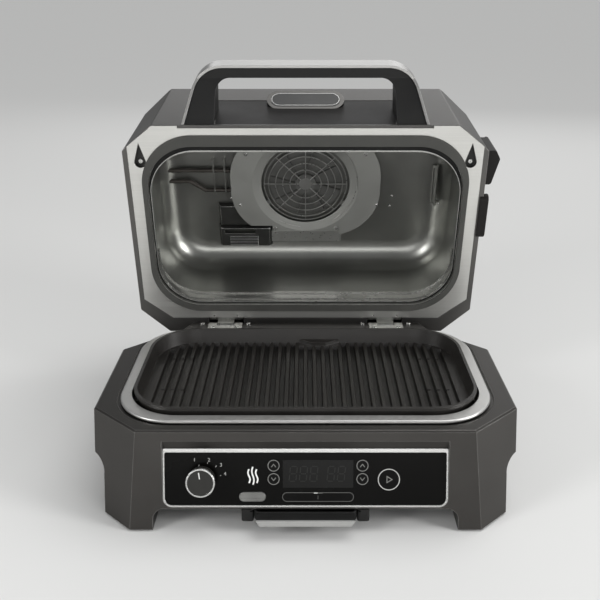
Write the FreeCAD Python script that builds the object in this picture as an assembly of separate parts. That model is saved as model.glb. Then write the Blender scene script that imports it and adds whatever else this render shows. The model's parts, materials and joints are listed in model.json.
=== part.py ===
import FreeCAD, Part
import math
import os

V = FreeCAD.Vector

# Electric outdoor grill, millimetres. +Z is up, -Y is the front with the controls.
# Everything is drawn about the ground point under the middle of the deck, the lid shut.
# At the end the lid is swung open and all is moved so that the origin lies on the ground
# at the middle of the whole.

# Base housing
deck_height = 150.0
base_half_width = 320.0
deck_front_y = -190.0
deck_back_y = 148.0
deck_edge_half = 245.0
corner_width = base_half_width - deck_edge_half
corner_depth = 68.0
front_rake = 34.0
back_rake = 12.0
leg_spread = 12.6
base_wall = 3.0
leg_outer_half = 303.0
leg_step_height = 60.0
overhang_height = 84.0
arch_half_width = 223.0
arch_height = 34.5
arch_radius = 17.0
side_arch_front_y = -105.0
side_arch_back_y = 62.0
side_arch_height = 54.0
side_arch_inner_half = 264.0
side_arch_radius = 24.0
deck_chamfer = 2.5
channel_width = 5.5
channel_front_width = 3.0
channel_depth = 1.5

# Hinge shelf behind the deck
shelf_back_y = 195.0
shelf_half_width = 232.0
shelf_end_slant = 20.0
shelf_depth = 62.0

# Floor plate and feet
floor_thickness = 2.0
floor_half_width = 190.0
floor_front_y = -168.0
floor_back_y = 118.0
floor_lap = 8.0
foot_height = 12.0
foot_lift = 3.0
foot_clearance = 0.3

# Cooking well, its rim and the ribbed plate
well_half_width = 272.0
well_front_y = -157.0
well_back_y = 141.5
well_radius = 83.5
well_wall = 1.5
well_floor_z = 68.0
well_flange = 10.0
rim_half_width = 286.0
rim_front_y = -172.2
rim_back_y = 156.2
rim_radius = 90.0
rim_thickness = 4.0
rim_edge_round = 2.4
plate_clearance = 4.0
plate_seat_gap = 0.3
plate_wall = 5.0
plate_base_z = 128.5
plate_base_thickness = 6.0
plate_top_above_rim = 9.5
rib_pitch = 15.2
rib_height = 6.5
rib_width = 8.4
rib_crest = 5.4
plate_draft = 5.0
plate_flange_height = 5.5
plate_flange_reach = 3.5
plate_boss_plan = ((-11.0, 10.0), (13.0, 24.0), (36.0, 24.0), (60.0, 10.0))
plate_boss_height = 6.0
rib_break_rows = (58.5, -52.0)
rib_break_length = 3.0
rib_break_count = 3
plate_edge_round = 3.0
well_bottom_round = 12.0
rest_size = 16.0
rest_thickness = 5.0
stand_x = 90.0
stand_width = 20.0
stand_thickness = 6.0

# Heater under the plate
heater_radius = 4.0
base_heater_z = 112.0
base_heater_rows = 4
base_heater_pitch = 64.0
base_heater_half = 190.0
base_heater_turn_x = -150.0
base_heater_lead_x = -200.0
base_heater_return_x = -165.0
base_heater_bend = 31.9
lead_length = 8.0

# Grease path
spout_radius = 9.0
spout_wall = 1.5
spout_y = -105.0
spout_gap = 2.0
tray_half_width = 75.0
tray_back_y = -62.0
tray_front_y = -222.0
tray_top_z = 33.0
tray_depth = 15.0
tray_wall = 1.6
tray_flange = 5.0
rail_gap = 0.6
rail_width = 13.0
rail_front_y = -219.0
rail_drop = 19.5
tray_lip_half_width = 71.5
lip_taper = 5.5
lip_reach = 19.0
lip_thickness = 3.0
lip_bevel = 0.8
lip_drop = 1.5
lip_skirt = 9.0

# Control fascia
fascia_tilt = 17.0
fascia_foot_z = 37.5
fascia_half_width = 207.0
fascia_height = 87.0
fascia_foot_radius = 13.0
fascia_head_radius = 3.0
bezel_side = 2.6
bezel_head = 5.6
bezel_depth = 5.0
panel_gap = 0.2
panel_sink = 1.0
bevel_rise = 14.0
key_clearance = 0.3
dial_x = -150.5
dial_v = 41.5
dial_radius = 19.4
dial_height = 19.0
dial_ring_radius = 21.2
dial_ring_height = 5.0
dial_shaft_radius = 3.0
dial_bore_clearance = 0.05
start_x = 121.0
start_v = 40.9
start_radius = 16.2
arrow_left_x = -46.3
arrow_right_x = 82.6
arrow_high_v = 61.5
arrow_low_v = 41.6
arrow_radius = 8.7
display_x0 = -33.3
display_x1 = 69.9
display_v0 = 27.9
display_v1 = 69.8
rocker_x0 = -34.2
rocker_x1 = 70.6
rocker_v0 = 7.4
rocker_v1 = 22.4
smoke_key_x = -77.2
smoke_key_v = 14.9
smoke_key_length = 39.0
smoke_key_width = 14.5
key_proud = 0.8
key_stem_radius = 2.0
key_travel = 1.0
rocker_pivot_n = -3.5
rocker_stem_x = 38.0
stem_length = 6.0
key_recess = 1.0
collar_gap = 0.3
switch_height = 2.0
board_thickness = 1.6
dial_gap = 0.6
dial_ring_width = 2.4
dial_rest_angle = 8.0

# Half the size of the blocks that cut everything on one side of a face
beyond_all = 500.0

# Lid, drawn shut. Heights are measured from the ground.
pivot_y = 188.5
pivot_z = deck_height - 4.4
open_angle = 82.0
origin_y = 79.0
lid_seat_gap = 0.5
seal_height = 3.0
lid_rim_z = deck_height + well_wall + rim_thickness + lid_seat_gap + seal_height
lid_brow_z = deck_height + 207.0
lid_roof_z = deck_height + 214.0
lid_rim_front_y = -194.0
lid_rim_side_half = 309.0
lid_rim_front_half = lid_rim_side_half - 53.0
lid_front_corner_ratio = 0.83
lid_back_corner_ratio = 0.941
lid_rim_back_half = lid_rim_side_half - 51.0
lid_rim_back_y = 208.0
lid_front_lean = 8.0
lid_back_lean = 4.0
lid_side_lean = 9.0
lid_corner_lean = 6.0
lid_shoulder_half = lid_rim_side_half - 8.0
lid_shoulder_z = deck_height + 186.5
lid_shoulder_slope = 0.55
lid_brow_bevel = 10.0
lid_back_bevel_y = 100.0
lid_back_bevel_z = deck_height + 150.0
shell_wall = 3.0
shell_edge_round = 5.0

# Lid frame, seal and liner
frame_front_half = lid_rim_front_half - 1.0
frame_front_y = lid_rim_front_y + 0.5
frame_side_half = lid_rim_side_half - 8.5
frame_side_front_y = -157.5
frame_side_back_y = 138.0
frame_back_half = lid_rim_back_half - 8.5
frame_back_y = 178.0
frame_thickness = 2.5
frame_gap = 0.4
frame_ledge = 8.0
frame_notch_half = 213.0
frame_notch_depth = 4.5
cup_x = frame_side_half - 20.5
cup_y = -130.0
cup_radius = 10.0
cup_point_y = -164.0
cup_depth = 8.0
cup_wall = 1.0
mouth_half_width = frame_side_half - 29.0
mouth_front_y = -158.0
mouth_back_y = 150.0
mouth_radius = 80.0
seal_half_width = mouth_half_width + 9.5
seal_front_y = mouth_front_y - 19.0
seal_back_y = mouth_back_y + 12.0
seal_radius = 90.0
liner_half_width = mouth_half_width + 3.5
liner_front_y = mouth_front_y - 1.0
liner_back_y = mouth_back_y + 1.0
liner_radius = 82.0
liner_wall = 1.2
liner_ceiling_z = deck_height + 171.0
liner_tilt = 7.0
liner_ceiling_round = 44.0
liner_flange = 7.0

# Convection fan in the lid
fan_y = -33.0
guard_radius = 80.0
guard_bar = 1.8
guard_rings = 4
guard_first_ring = 31.0
guard_ring_pitch = 13.7
guard_recess = 4.0
guard_hole_radius = 85.0
guard_slope_radius = 102.0
guard_hub_radius = 12.0
shroud_half_width = 143.5
shroud_half_depth = 113.0
shroud_radius = 97.0
shroud_thickness = 1.2
shroud_stand = 16.0
shroud_front_gap = 13.0
shroud_tab_half = 71.0
shroud_tab_reach = 127.0
fan_radius = 70.0
fan_hub_radius = 20.0
fan_blades = 8
fan_blade_height = 9.0
fan_ceiling_gap = 3.0
fan_disc_thickness = 1.5
fan_shaft_radius = 4.0
fan_shaft_clearance = 0.05
motor_radius = 30.0
motor_height = 26.0
motor_stand = 6.0
lid_heater_radius = 92.0
lid_heater_drop = 8.5
lid_heater_front_y = -60.0
lid_heater_back_y = -18.0
lid_heater_exit_x = 53.0 - liner_half_width
lid_heater_bend_x = lid_heater_exit_x + 28.0
lid_heater_exit_y = -37.0
heater_strap_x = (lid_heater_exit_x + 47.0, lid_heater_exit_x + 68.0)
heater_strap_width = 3.0
strap_front_reach = 22.0
strap_back_reach = 8.0
louvre_x0 = lid_heater_exit_x + 49.0
louvre_x1 = -66.5
louvre_back = 142.0
louvre_front = 92.0
louvre_stand = 18.0
hood_x1 = -97.0
hood_front = 46.0
hood_stand = 11.0
stamping_wall = 1.0
stamping_lift = 2.5
stamping_slope = 5.0
hood_lap = 8.0
louvre_count = 3
louvre_pitch = 6.7
louvre_half_width = 27.0
probe_slot_x = liner_half_width - 28.0
probe_slot_z = deck_height + 156.0
probe_slot_front_y = -70.0
probe_slot_back_y = 10.0
probe_slot_width = 6.0
lip_half_width = mouth_half_width + 0.5
lip_front_y = mouth_front_y + 12.5
lip_back_y = mouth_back_y - 1.0
lip_radius = 82.0
lip_low_z = deck_height + 16.5
lip_ring_thickness = 2.5
lip_band_front_y = 55.0
lip_band_high_z = deck_height + 56.0
lip_band_wall = 1.0
lip_band_gap = 0.4
lip_bead = 2.0
lip_bead_height = 5.0
lip_bead_z = deck_height + 29.5
lip_hole_radius = 1.5
lip_hole_pitch = 134.0
lip_hole_z = deck_height + 43.0

# Handle
handle_reach = 90.0
handle_bar = 20.5
handle_half_width = 176.0
handle_foot_half = 206.0
handle_inner_half = 147.0
handle_inner_foot_half = 153.0
handle_low_z = deck_height + 40.0
handle_high_z = deck_height + 79.0
handle_root_low_z = deck_height + 9.0
handle_root_high_z = deck_height + 104.0
handle_corner = 55.0
handle_inner_corner = 24.0
strap_thickness = 4.0
strap_lap = 2.0

# Panel and badge between the legs of the handle
inset_low_z = deck_height + 14.0
inset_high_z = deck_height + 139.0
inset_low_half = 150.0
inset_high_half = 160.0
inset_depth = 2.0
badge_half_width = 61.0
badge_height = 32.0
badge_low_z = deck_height + 102.0
badge_tilt = 28.0
badge_thickness = 1.5
badge_border = 7.0
badge_boss_depth = 60.0

# Smoke box on the right side of the lid
smoke_box_front_y = -149.0
smoke_box_back_y = -88.0
smoke_box_low_z = deck_height + 14.0
smoke_box_high_z = deck_height + 84.0
smoke_box_inner = lid_rim_side_half - 18.0
smoke_box_out = lid_rim_side_half + 21.5
smoke_box_nose_y = -134.0
smoke_box_front_cut = 8.0
smoke_box_back_cut = 11.0
smoke_box_wall = 2.0
smoke_box_round = 5.0
smoke_rim_width = 3.0
flap_gap = 0.4
flap_thickness = 3.0
flap_barrel_radius = 2.6
flap_tab_back = 5.0
flap_tab_length = 12.0
flap_tab_height = 4.0
pellet_cup_gap = 1.0
pellet_cup_wall = 1.2
pellet_cup_height = 40.0
pellet_cup_inner = smoke_box_inner + 3.0
pellet_cup_stand = 5.0
igniter_inner = smoke_box_inner - 3.0
igniter_length = 30.0
igniter_rise = 14.0
bump_front_y = -70.0
bump_back_y = 11.0
bump_low_z = deck_height + 5.0
bump_high_z = deck_height + 25.0
bump_out = lid_rim_side_half + 9.0
flap_pivot_x = smoke_box_out - 18.5
flap_pin_radius = 1.2
igniter_radius = 3.0

# Hinges
hinge_x = 150.0
hinge_width = 63.0
hinge_side_gap = 1.5
hinge_reach = 11.0
knuckle_radius = 6.5
knuckle_gap = 0.5
pin_radius = 3.0
pin_clearance = 0.05
leaf_thickness = 2.0
base_leaf_reach = 19.0
lid_leaf_front_y = 168.0
lid_leaf_back_y = 184.0
hinge_screw_x = 22.0

# Rear vent and cord gland
vent_half_width = 62.0
vent_low = 50.0
vent_high = 66.0
vent_bars = 14
gland_x = 150.0
gland_z = 60.0
gland_radius = 8.0

# Floor slots
floor_slot_rows = 6
floor_slot_y = -60.0
floor_slot_pitch = 22.0
floor_slot_width = 3.4

# Fasteners
shelf_screw_offset = 43.0
shelf_screw_y = 187.0
screw_head_radius = 4.0
screw_head_height = 2.4
screw_shank_radius = 1.8


def polygon(points):
    """Closed wire through the points."""
    return Part.makePolygon([V(*p) for p in points] + [V(*points[0])])


def prism_z(points, low, high):
    """Upright prism on a plan outline of (x, y) points."""
    face = Part.Face(polygon([(x, y, low) for x, y in points]))
    return face.extrude(V(0, 0, high - low))


def prism_y(points, front, back):
    """Prism along Y on an outline of (x, z) points."""
    face = Part.Face(polygon([(x, front, z) for x, z in points]))
    return face.extrude(V(0, back - front, 0))


def prism_x(points, left, right):
    """Prism along X on an outline of (y, z) points."""
    face = Part.Face(polygon([(left, y, z) for y, z in points]))
    return face.extrude(V(right - left, 0, 0))


def box(x0, x1, y0, y1, z0, z1):
    return Part.makeBox(x1 - x0, y1 - y0, z1 - z0, V(x0, y0, z0))


def cylinder(radius, height, x, y, z, axis=(0, 0, 1)):
    return Part.makeCylinder(radius, height, V(x, y, z), V(*axis))


def rounded_slab(x0, x1, y0, y1, radius, low, high):
    """Upright prism on a rounded rectangle."""
    solid = box(x0, x1, y0, y1, low, high)
    uprights = [e for e in solid.Edges if abs(e.tangentAt(e.FirstParameter).z) > 0.9]
    return solid.makeFillet(radius, uprights)


def rounded_plate(half, front, back, radius, low, high):
    """Rounded slab centred on the X axis."""
    return rounded_slab(-half, half, front, back, radius, low, high)


def octagon(front_half, front_y, side_half, side_front_y, side_back_y, back_half, back_y):
    """Plan outline with four cut corners, anticlockwise from the front left."""
    right = [(front_half, front_y), (side_half, side_front_y), (side_half, side_back_y), (back_half,
            back_y)]
    left = [(-x, y) for x, y in reversed(right)]
    return right + left


def inset(points, distance):
    """The same convex outline with every side moved inwards."""
    lines = []
    for i, (x0, y0) in enumerate(points):
        x1, y1 = points[(i + 1) % len(points)]
        length = math.hypot(x1 - x0, y1 - y0)
        nx = (y0 - y1) / length
        ny = (x1 - x0) / length
        lines.append((nx, ny, nx * x0 + ny * y0 + distance))
    moved = []
    for i, (a1, b1, c1) in enumerate(lines):
        a0, b0, c0 = lines[i - 1]
        det = a0 * b1 - a1 * b0
        moved.append(((c0 * b1 - c1 * b0) / det, (a0 * c1 - a1 * c0) / det))
    return moved


def loft_outlines(lower, low, upper, high):
    """Flat-sided solid between two plan outlines."""
    wires = [polygon([(x, y, low) for x, y in lower]), polygon([(x, y, high) for x, y in upper])]
    return Part.makeLoft(wires, True, True)


def mirrored(shape):
    """The shape and its mirror image across the YZ plane."""
    return [shape, shape.mirror(V(0, 0, 0), V(1, 0, 0))]


def join(shapes):
    """One solid from touching or overlapping solids."""
    return shapes[0].fuse(shapes[1:]).removeSplitter() if len(shapes) > 1 else shapes[0]


def group(shapes):
    """Separate solids kept side by side."""
    return Part.makeCompound(shapes)


def rounded_path(points, bend):
    """Wire through the points with every corner rounded to the same radius."""
    corners = [V(*p) for p in points]
    edges = []
    start = corners[0]
    for before, corner, after in zip(corners, corners[1:], corners[2:]):
        arriving = (corner - before).normalize()
        leaving = (after - corner).normalize()
        half_turn = arriving.getAngle(leaving) / 2
        reach = bend * math.tan(half_turn)
        first = corner - arriving * reach
        last = corner + leaving * reach
        middle = corner + (leaving - arriving).normalize() * (bend / math.cos(half_turn) - bend)
        if (first - start).Length > 0.01:
            edges.append(Part.LineSegment(start, first).toShape())
        edges.append(Part.Arc(first, middle, last).toShape())
        start = last
    edges.append(Part.LineSegment(start, corners[-1]).toShape())
    return Part.Wire(edges)


def tube(points, bend, radius):
    """Round bar bent through the points."""
    start = V(*points[0])
    direction = V(*points[1]) - start
    section = Part.Wire([Part.makeCircle(radius, start, direction)])
    return rounded_path(points, bend).makePipeShell([section], True, False)


# Base


def base_outline(z):
    """Outline of the housing at a height: the front and back faces rake outwards downwards."""
    drop = (deck_height - z) / deck_height
    front_half = deck_edge_half + leg_spread * drop
    front_y = deck_front_y - front_rake * drop
    back_y = deck_back_y + back_rake * drop
    run = (base_half_width - front_half) * corner_depth / corner_width
    return octagon(front_half, front_y, base_half_width, front_y + run, back_y - run, front_half, back_y)


def shelf_form(skin):
    """Block behind the deck that carries the hinges."""
    top = deck_height - skin
    back = shelf_back_y - skin
    root = deck_back_y - 30.0
    profile = [(root, top), (root, deck_height - shelf_depth - 18.0 + skin), (deck_back_y,
            deck_height - shelf_depth - 18.0 + skin)]
    profile += [(back, deck_height - shelf_depth * 0.45 + skin * 0.5), (back, top)]
    slant = shelf_half_width - shelf_end_slant
    plan = [(-shelf_half_width, root - 10.0), (shelf_half_width, root - 10.0), (shelf_half_width,
            deck_back_y)]
    plan += [(slant, shelf_back_y), (-slant, shelf_back_y), (-shelf_half_width, deck_back_y)]
    return prism_x(profile, -base_half_width, base_half_width).common(prism_z(inset(plan, skin), 0,
            2 * deck_height))


def leg_step(skin):
    """Space outside the legs under the side overhangs, where the hands go."""
    inner = leg_outer_half - skin
    outer = base_half_width + 1.0
    low = V(inner, -beyond_all, leg_step_height)
    high = V(outer, -beyond_all, overhang_height + skin)
    rise = overhang_height + skin - leg_step_height
    middle = V(inner + (outer - inner) * 0.22, -beyond_all, leg_step_height + rise * 0.66)
    floor = -10.0
    edges = [
        Part.LineSegment(V(inner, -beyond_all, floor), low),
        Part.Arc(low, middle, high),
        Part.LineSegment(high, V(outer + 30, -beyond_all, high.z)),
        Part.LineSegment(V(outer + 30, -beyond_all, high.z), V(outer + 30, -beyond_all, floor)),
        Part.LineSegment(V(outer + 30, -beyond_all, floor), V(inner, -beyond_all, floor)),
    ]
    face = Part.Face(Part.Wire([e.toShape() for e in edges]))
    return group(mirrored(face.extrude(V(0, 2 * beyond_all, 0))))


def arch_space(skin):
    """Space between the legs, seen from the front and from the back."""
    half = arch_half_width + skin
    block = box(-half, half, -beyond_all, beyond_all, -50, arch_height + skin)
    tops = [e for e in block.Edges if e.CenterOfMass.z > 0 and abs(e.tangentAt(0).y) > 0.9]
    return block.makeFillet(arch_radius + skin, tops)


def side_arch_space(skin):
    """Pocket between the front and back legs at each side."""
    block = box(side_arch_inner_half - skin, beyond_all, side_arch_front_y - skin,
            side_arch_back_y + skin, -50, side_arch_height + skin)
    tops = [e for e in block.Edges if e.CenterOfMass.z > 0 and abs(e.tangentAt(0).x) > 0.9]
    return group(mirrored(block.makeFillet(side_arch_radius + skin, tops)))


def on_fascia(shape):
    """Places a shape drawn as (x, up the fascia, out of the fascia) on the sloping front."""
    placed = shape.copy()
    placed.rotate(V(0, 0, 0), V(1, 0, 0), 90 - fascia_tilt)
    drop = (deck_height - fascia_foot_z) / deck_height
    placed.translate(V(0, deck_front_y - front_rake * drop, fascia_foot_z))
    return placed


def fascia_slab(half, v0, v1, low, high, shrink=0.0):
    """Fascia outline: round lower corners, nearly square upper ones."""
    slab = box(-half, half, v0, v1, low, high)
    lower = [e for e in slab.Edges if abs(e.tangentAt(0).z) > 0.9 and e.CenterOfMass.y < v1 / 2]
    slab = slab.makeFillet(fascia_foot_radius - shrink, lower)
    upper = [e for e in slab.Edges if abs(e.tangentAt(0).z) > 0.9 and e.CenterOfMass.y > v1 - 0.1]
    return slab.makeFillet(fascia_head_radius, upper)


def fascia_space(skin):
    """Recess for the fascia with the bevel above it."""
    half = fascia_half_width + panel_gap + skin
    well = fascia_slab(half, -panel_gap - skin, fascia_height + panel_gap, -bezel_depth - skin, 40, -skin)
    tilt = math.radians(fascia_tilt)
    drop = (deck_height - fascia_foot_z) / deck_height
    head_y = deck_front_y - front_rake * drop + fascia_height * math.sin(tilt)
    head_z = fascia_foot_z + fascia_height * math.cos(tilt)
    brow_z = head_z + bevel_rise
    brow_y = deck_front_y - front_rake * (deck_height - brow_z) / deck_height
    bevel = [(head_y + skin, head_z - 12), (head_y + skin, head_z + 0.5), (brow_y + skin, brow_z + skin)]
    bevel += [(deck_front_y - 120, brow_z + skin), (deck_front_y - 120, head_z - 12)]
    return on_fascia(well).fuse(prism_x(bevel, -half, half))


def base_block(skin, bottom):
    """Outer form of the base, or the hollow inside it when drawn a wall thinner."""
    top = deck_height - skin
    shoulder = top - deck_chamfer
    walls = inset(base_outline(shoulder), skin)
    form = loft_outlines(inset(base_outline(bottom), skin), bottom, walls, shoulder)
    crown = loft_outlines(walls, shoulder, inset(base_outline(top), skin + deck_chamfer), top)
    form = form.fuse([crown, shelf_form(skin)])
    return form.cut([leg_step(skin), arch_space(skin), side_arch_space(skin), fascia_space(skin)])


def deck_channel():
    """Shallow channel in the deck round the ring."""
    half = rim_half_width + channel_width
    front = rim_front_y - channel_front_width
    back = rim_back_y + channel_front_width
    return rounded_plate(half, front, back, rim_radius + channel_front_width,
            deck_height - channel_depth, deck_height + 1)


def hinge_pocket(x):
    """Notch in the hinge shelf for one hinge."""
    half = hinge_width / 2 + hinge_side_gap
    return box(x - half, x + half, pivot_y - hinge_reach, shelf_back_y + 5,
            pivot_z - knuckle_radius - 2, deck_height + 5)


def build_base_housing():
    housing = base_block(0, foot_lift).cut(base_block(base_wall, -1.0))
    deck_hole = rounded_plate(well_half_width + 1, well_front_y - 1, well_back_y + 1, well_radius + 1,
            deck_height - 20, deck_height + 20)
    floor_hole = box(-floor_half_width, floor_half_width, floor_front_y, floor_back_y, arch_height - 5,
            arch_height + 10)
    window = box(-fascia_half_width + 12, fascia_half_width - 12, 6, fascia_height - 7, -30, 30)
    pockets = [hinge_pocket(x) for x in (-hinge_x, hinge_x)]
    vent_hole = box(-vent_half_width, vent_half_width, deck_back_y - 20, deck_back_y + 30, vent_low,
            vent_high)
    gland_hole = cylinder(gland_radius, 60, gland_x, deck_back_y - 20, gland_z, (0, 1, 0))
    return housing.cut([deck_channel(), deck_hole, floor_hole, on_fascia(window), vent_hole,
            gland_hole] + pockets)


def build_base_floor():
    plate = box(-floor_half_width - floor_lap, floor_half_width + floor_lap, floor_front_y - floor_lap,
            floor_back_y + floor_lap, arch_height + base_wall, arch_height + base_wall + floor_thickness)
    slots = []
    for row in range(floor_slot_rows):
        y = floor_slot_y + row * floor_slot_pitch
        slots.append(box(-150, -90, y, y + floor_slot_width, 0, 100))
        slots.append(box(90, 150, y, y + floor_slot_width, 0, 100))
    spout_hole = cylinder(spout_radius + 1, 40, 0, spout_y, 20)
    return plate.cut(slots + [spout_hole])


def foot_plan(front):
    """Ground outline of the right-hand leg at the front or the back."""
    outline = prism_z(inset(base_outline(foot_height), base_wall + foot_clearance), 0, foot_height)
    side = leg_outer_half - base_wall - foot_clearance
    inner = arch_half_width + base_wall + foot_clearance
    if front:
        reach = box(inner, side, -beyond_all, side_arch_front_y - base_wall - foot_clearance, 0,
                foot_height)
    else:
        reach = box(inner, side, side_arch_back_y + base_wall + foot_clearance, beyond_all, 0, foot_height)
    return outline.common(reach)


def build_rubber_feet():
    feet = []
    for front in (True, False):
        feet += mirrored(foot_plan(front))
    return group(feet)


def well_form(skin, low, high):
    return rounded_plate(well_half_width - skin, well_front_y + skin, well_back_y - skin,
            well_radius - skin, low, high)


def build_cooking_well():
    """Deep pan hung in the deck by a flange, with a drain hole in its floor."""
    flange = well_form(-well_flange, deck_height, deck_height + well_wall)
    outside = well_form(0, well_floor_z, deck_height + well_wall)
    inside = well_form(well_wall, well_floor_z + well_wall, deck_height + 50)
    bottom = [e for e in outside.Edges if abs(e.CenterOfMass.z - well_floor_z) < 0.01]
    outside = outside.makeFillet(well_bottom_round, bottom)
    bottom = [e for e in inside.Edges if abs(e.CenterOfMass.z - well_floor_z - well_wall) < 0.01]
    inside = inside.makeFillet(well_bottom_round - well_wall, bottom)
    drain = cylinder(spout_radius - spout_wall, 40, 0, spout_y, well_floor_z - 20)
    leads = (base_heater_lead_x, base_heater_return_x)
    lead_holes = [cylinder(heater_radius, 30, x, well_back_y - 15, base_heater_z, (0, 1, 0)) for x in leads]
    return flange.fuse(outside).cut([inside, drain] + lead_holes)


def build_well_rim():
    """Broad satin ring round the plate."""
    low = deck_height + well_wall
    ring = rounded_plate(rim_half_width, rim_front_y, rim_back_y, rim_radius, low, low + rim_thickness)
    top = [e for e in ring.Edges if abs(e.CenterOfMass.z - low - rim_thickness) < 0.01]
    ring = ring.makeFillet(rim_edge_round, top)
    return ring.cut(well_form(well_wall, low - 1, low + 20))


def plate_form(skin, low, high):
    return well_form(well_wall + plate_clearance + skin, low, high)


def rounded_wire(half, front, back, radius, z):
    """Rounded rectangle lying flat, centred on the X axis."""
    slab = rounded_plate(half, front, back, radius, z, z + 1)
    return [f for f in slab.Faces if abs(f.CenterOfMass.z - z) < 0.01][0].OuterWire


def plate_hollow(low, high):
    """Space inside the plate's wall, wider upwards."""
    wires = []
    over = 1.0
    for z, extra in ((low, plate_draft), (high + over, -plate_draft * over / (high - low))):
        skin = well_wall + plate_clearance + plate_wall + extra
        wires.append(rounded_wire(well_half_width - skin, well_front_y + skin, well_back_y - skin,
                well_radius - skin, z))
    return Part.makeLoft(wires, True, True)


def plate_rim_z():
    return deck_height + well_wall + rim_thickness + plate_top_above_rim


def groove(x, front, back):
    """Channel with sloping sides and ends, cut into the floor of the plate."""
    low = plate_base_z + plate_base_thickness
    high = low + rib_height
    foot = (rib_pitch - rib_width) / 2
    head = (rib_pitch - rib_crest) / 2
    slope = rib_height * 0.5
    lower = [(x - foot, front + slope), (x + foot, front + slope), (x + foot, back - slope), (x - foot,
            back - slope)]
    upper = [(x - head, front), (x + head, front), (x + head, back), (x - head, back)]
    return loft_outlines(lower, low, upper, high)


def cast_wall():
    """Steepest inward reach of the plate's wall, at its foot."""
    return plate_wall + plate_draft


def groove_span(x):
    """Front and back ends of the channel at x, following the plate's round corners."""
    skin = well_wall + plate_clearance + cast_wall()
    half = well_half_width - skin
    radius = well_radius - skin
    over = max(0.0, abs(x) + rib_pitch / 2 - (half - radius))
    cut = radius - math.sqrt(max(0.0, radius * radius - over * over))
    return well_front_y + skin + cut, well_back_y - skin - cut


def plate_boss():
    """Low boss on the back wall, inside the plate, with slanting ends."""
    wall = well_back_y - well_wall - plate_clearance
    low = plate_base_z + plate_base_thickness + rib_height
    plan = [(x, wall - depth) for x, depth in plate_boss_plan]
    plan += [(plate_boss_plan[-1][0], wall - plate_wall), (plate_boss_plan[0][0], wall - plate_wall)]
    return prism_z(plan, low - 1, low + plate_boss_height)


def rib_breaks(count):
    """Short gaps across the outermost ribs on both sides."""
    low = plate_base_z + plate_base_thickness
    reach = (count + 0.5) * rib_pitch
    start = (count - rib_break_count + 0.5) * rib_pitch
    gaps = []
    for y in rib_break_rows:
        gaps += mirrored(box(start, reach, y - rib_break_length / 2, y + rib_break_length / 2, low,
                low + rib_height + 1))
    return gaps


def build_grill_plate():
    """Cast plate: a wall with a rim all round, and upright ribs between channels cut in its floor."""
    rim_z = plate_rim_z()
    floor = plate_base_z + plate_base_thickness + rib_height
    body = plate_form(plate_flange_reach, plate_base_z, rim_z - 1)
    lower = [e for e in body.Edges if abs(e.CenterOfMass.z - plate_base_z) < 0.01]
    body = body.makeFillet(plate_edge_round, lower)
    body = body.fuse(plate_form(0, rim_z - plate_flange_height, rim_z))
    body = body.cut(plate_hollow(floor, rim_z)).fuse(plate_boss())
    skin = well_wall + plate_clearance + cast_wall()
    count = int((well_half_width - skin) / rib_pitch - 0.5)
    cuts = []
    for i in range(-count, count):
        x = (i + 0.5) * rib_pitch
        front, back = groove_span(x)
        if plate_boss_plan[0][0] < x < plate_boss_plan[-1][0]:
            back -= plate_boss_plan[1][1] - cast_wall()
        cuts.append(groove(x, front, back))
    return body.cut(cuts + rib_breaks(count - 1))


def plate_rests():
    """Four ledges welded to the wall of the well under the corners of the plate."""
    ledges = []
    inner = well_half_width - well_wall
    high = plate_base_z - plate_seat_gap
    for y in (well_front_y + well_radius + rest_size, well_back_y - well_radius - rest_size):
        ledge = box(inner - rest_size, inner, y - rest_size / 2, y + rest_size / 2,
                high - rest_thickness, high)
        ledges += mirrored(ledge)
    return ledges


def base_heater_path():
    z = base_heater_z
    half = base_heater_half
    first_y = -base_heater_pitch * (base_heater_rows - 1) / 2
    lead_y = well_back_y + lead_length
    points = [(base_heater_lead_x, lead_y, z), (base_heater_lead_x, first_y, z)]
    for row in range(base_heater_rows):
        y = first_y + row * base_heater_pitch
        if row > 0:
            points.append((points[-1][0], y, z))
        last = row == base_heater_rows - 1
        left = base_heater_return_x if last else base_heater_turn_x
        points.append((half if row % 2 == 0 else left, y, z))
    points.append((base_heater_return_x, lead_y, z))
    return points


def build_base_heater():
    """Bent tubular element under the plate, both leads out through the back of the well."""
    return tube(base_heater_path(), base_heater_bend, heater_radius)


def heater_stands():
    """Four stands on the floor of the well that carry the element's rows."""
    stands = []
    foot = well_floor_z + well_wall
    for row in (0, base_heater_rows - 1):
        y = base_heater_pitch * (row - (base_heater_rows - 1) / 2)
        stand = box(stand_x, stand_x + stand_width, y - stand_thickness / 2, y + stand_thickness / 2,
                foot, base_heater_z)
        stand = stand.cut(cylinder(heater_radius, stand_width + 40, stand_x - 20, y, base_heater_z, (1,
                0, 0)))
        stands += mirrored(stand)
    return stands


def build_well_supports():
    """Ledges for the plate and stands for the element, welded into the well."""
    return group(plate_rests() + heater_stands())


def build_drain_spout():
    """Flanged tube that leads grease from the well down to the tray."""
    top = well_floor_z
    bottom = tray_top_z + spout_gap
    tube_body = cylinder(spout_radius, top - bottom, 0, spout_y, bottom)
    flange = cylinder(spout_radius + 5, spout_wall, 0, spout_y, top - spout_wall)
    bore = cylinder(spout_radius - spout_wall, 200, 0, spout_y, bottom - 10)
    return tube_body.fuse(flange).cut(bore)


def tray_rail():
    """Right-hand rail under the floor: a channel takes the flange of the tray."""
    inner = tray_half_width + rail_gap
    slot_low = tray_top_z - tray_wall - rail_gap
    slot_high = tray_top_z + rail_gap
    low = arch_height - rail_drop
    body = rounded_slab(inner, inner + rail_width + tray_flange, rail_front_y, tray_back_y + 12, 4.0,
            low, arch_height)
    channel = box(0, inner + tray_flange, rail_front_y - 10, tray_back_y + 2, slot_low, slot_high)
    web = box(inner, inner + rail_width + tray_flange, floor_front_y + 0.2, tray_back_y + 8, low + 10,
            arch_height + base_wall)
    return body.fuse(web).cut(channel)


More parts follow.
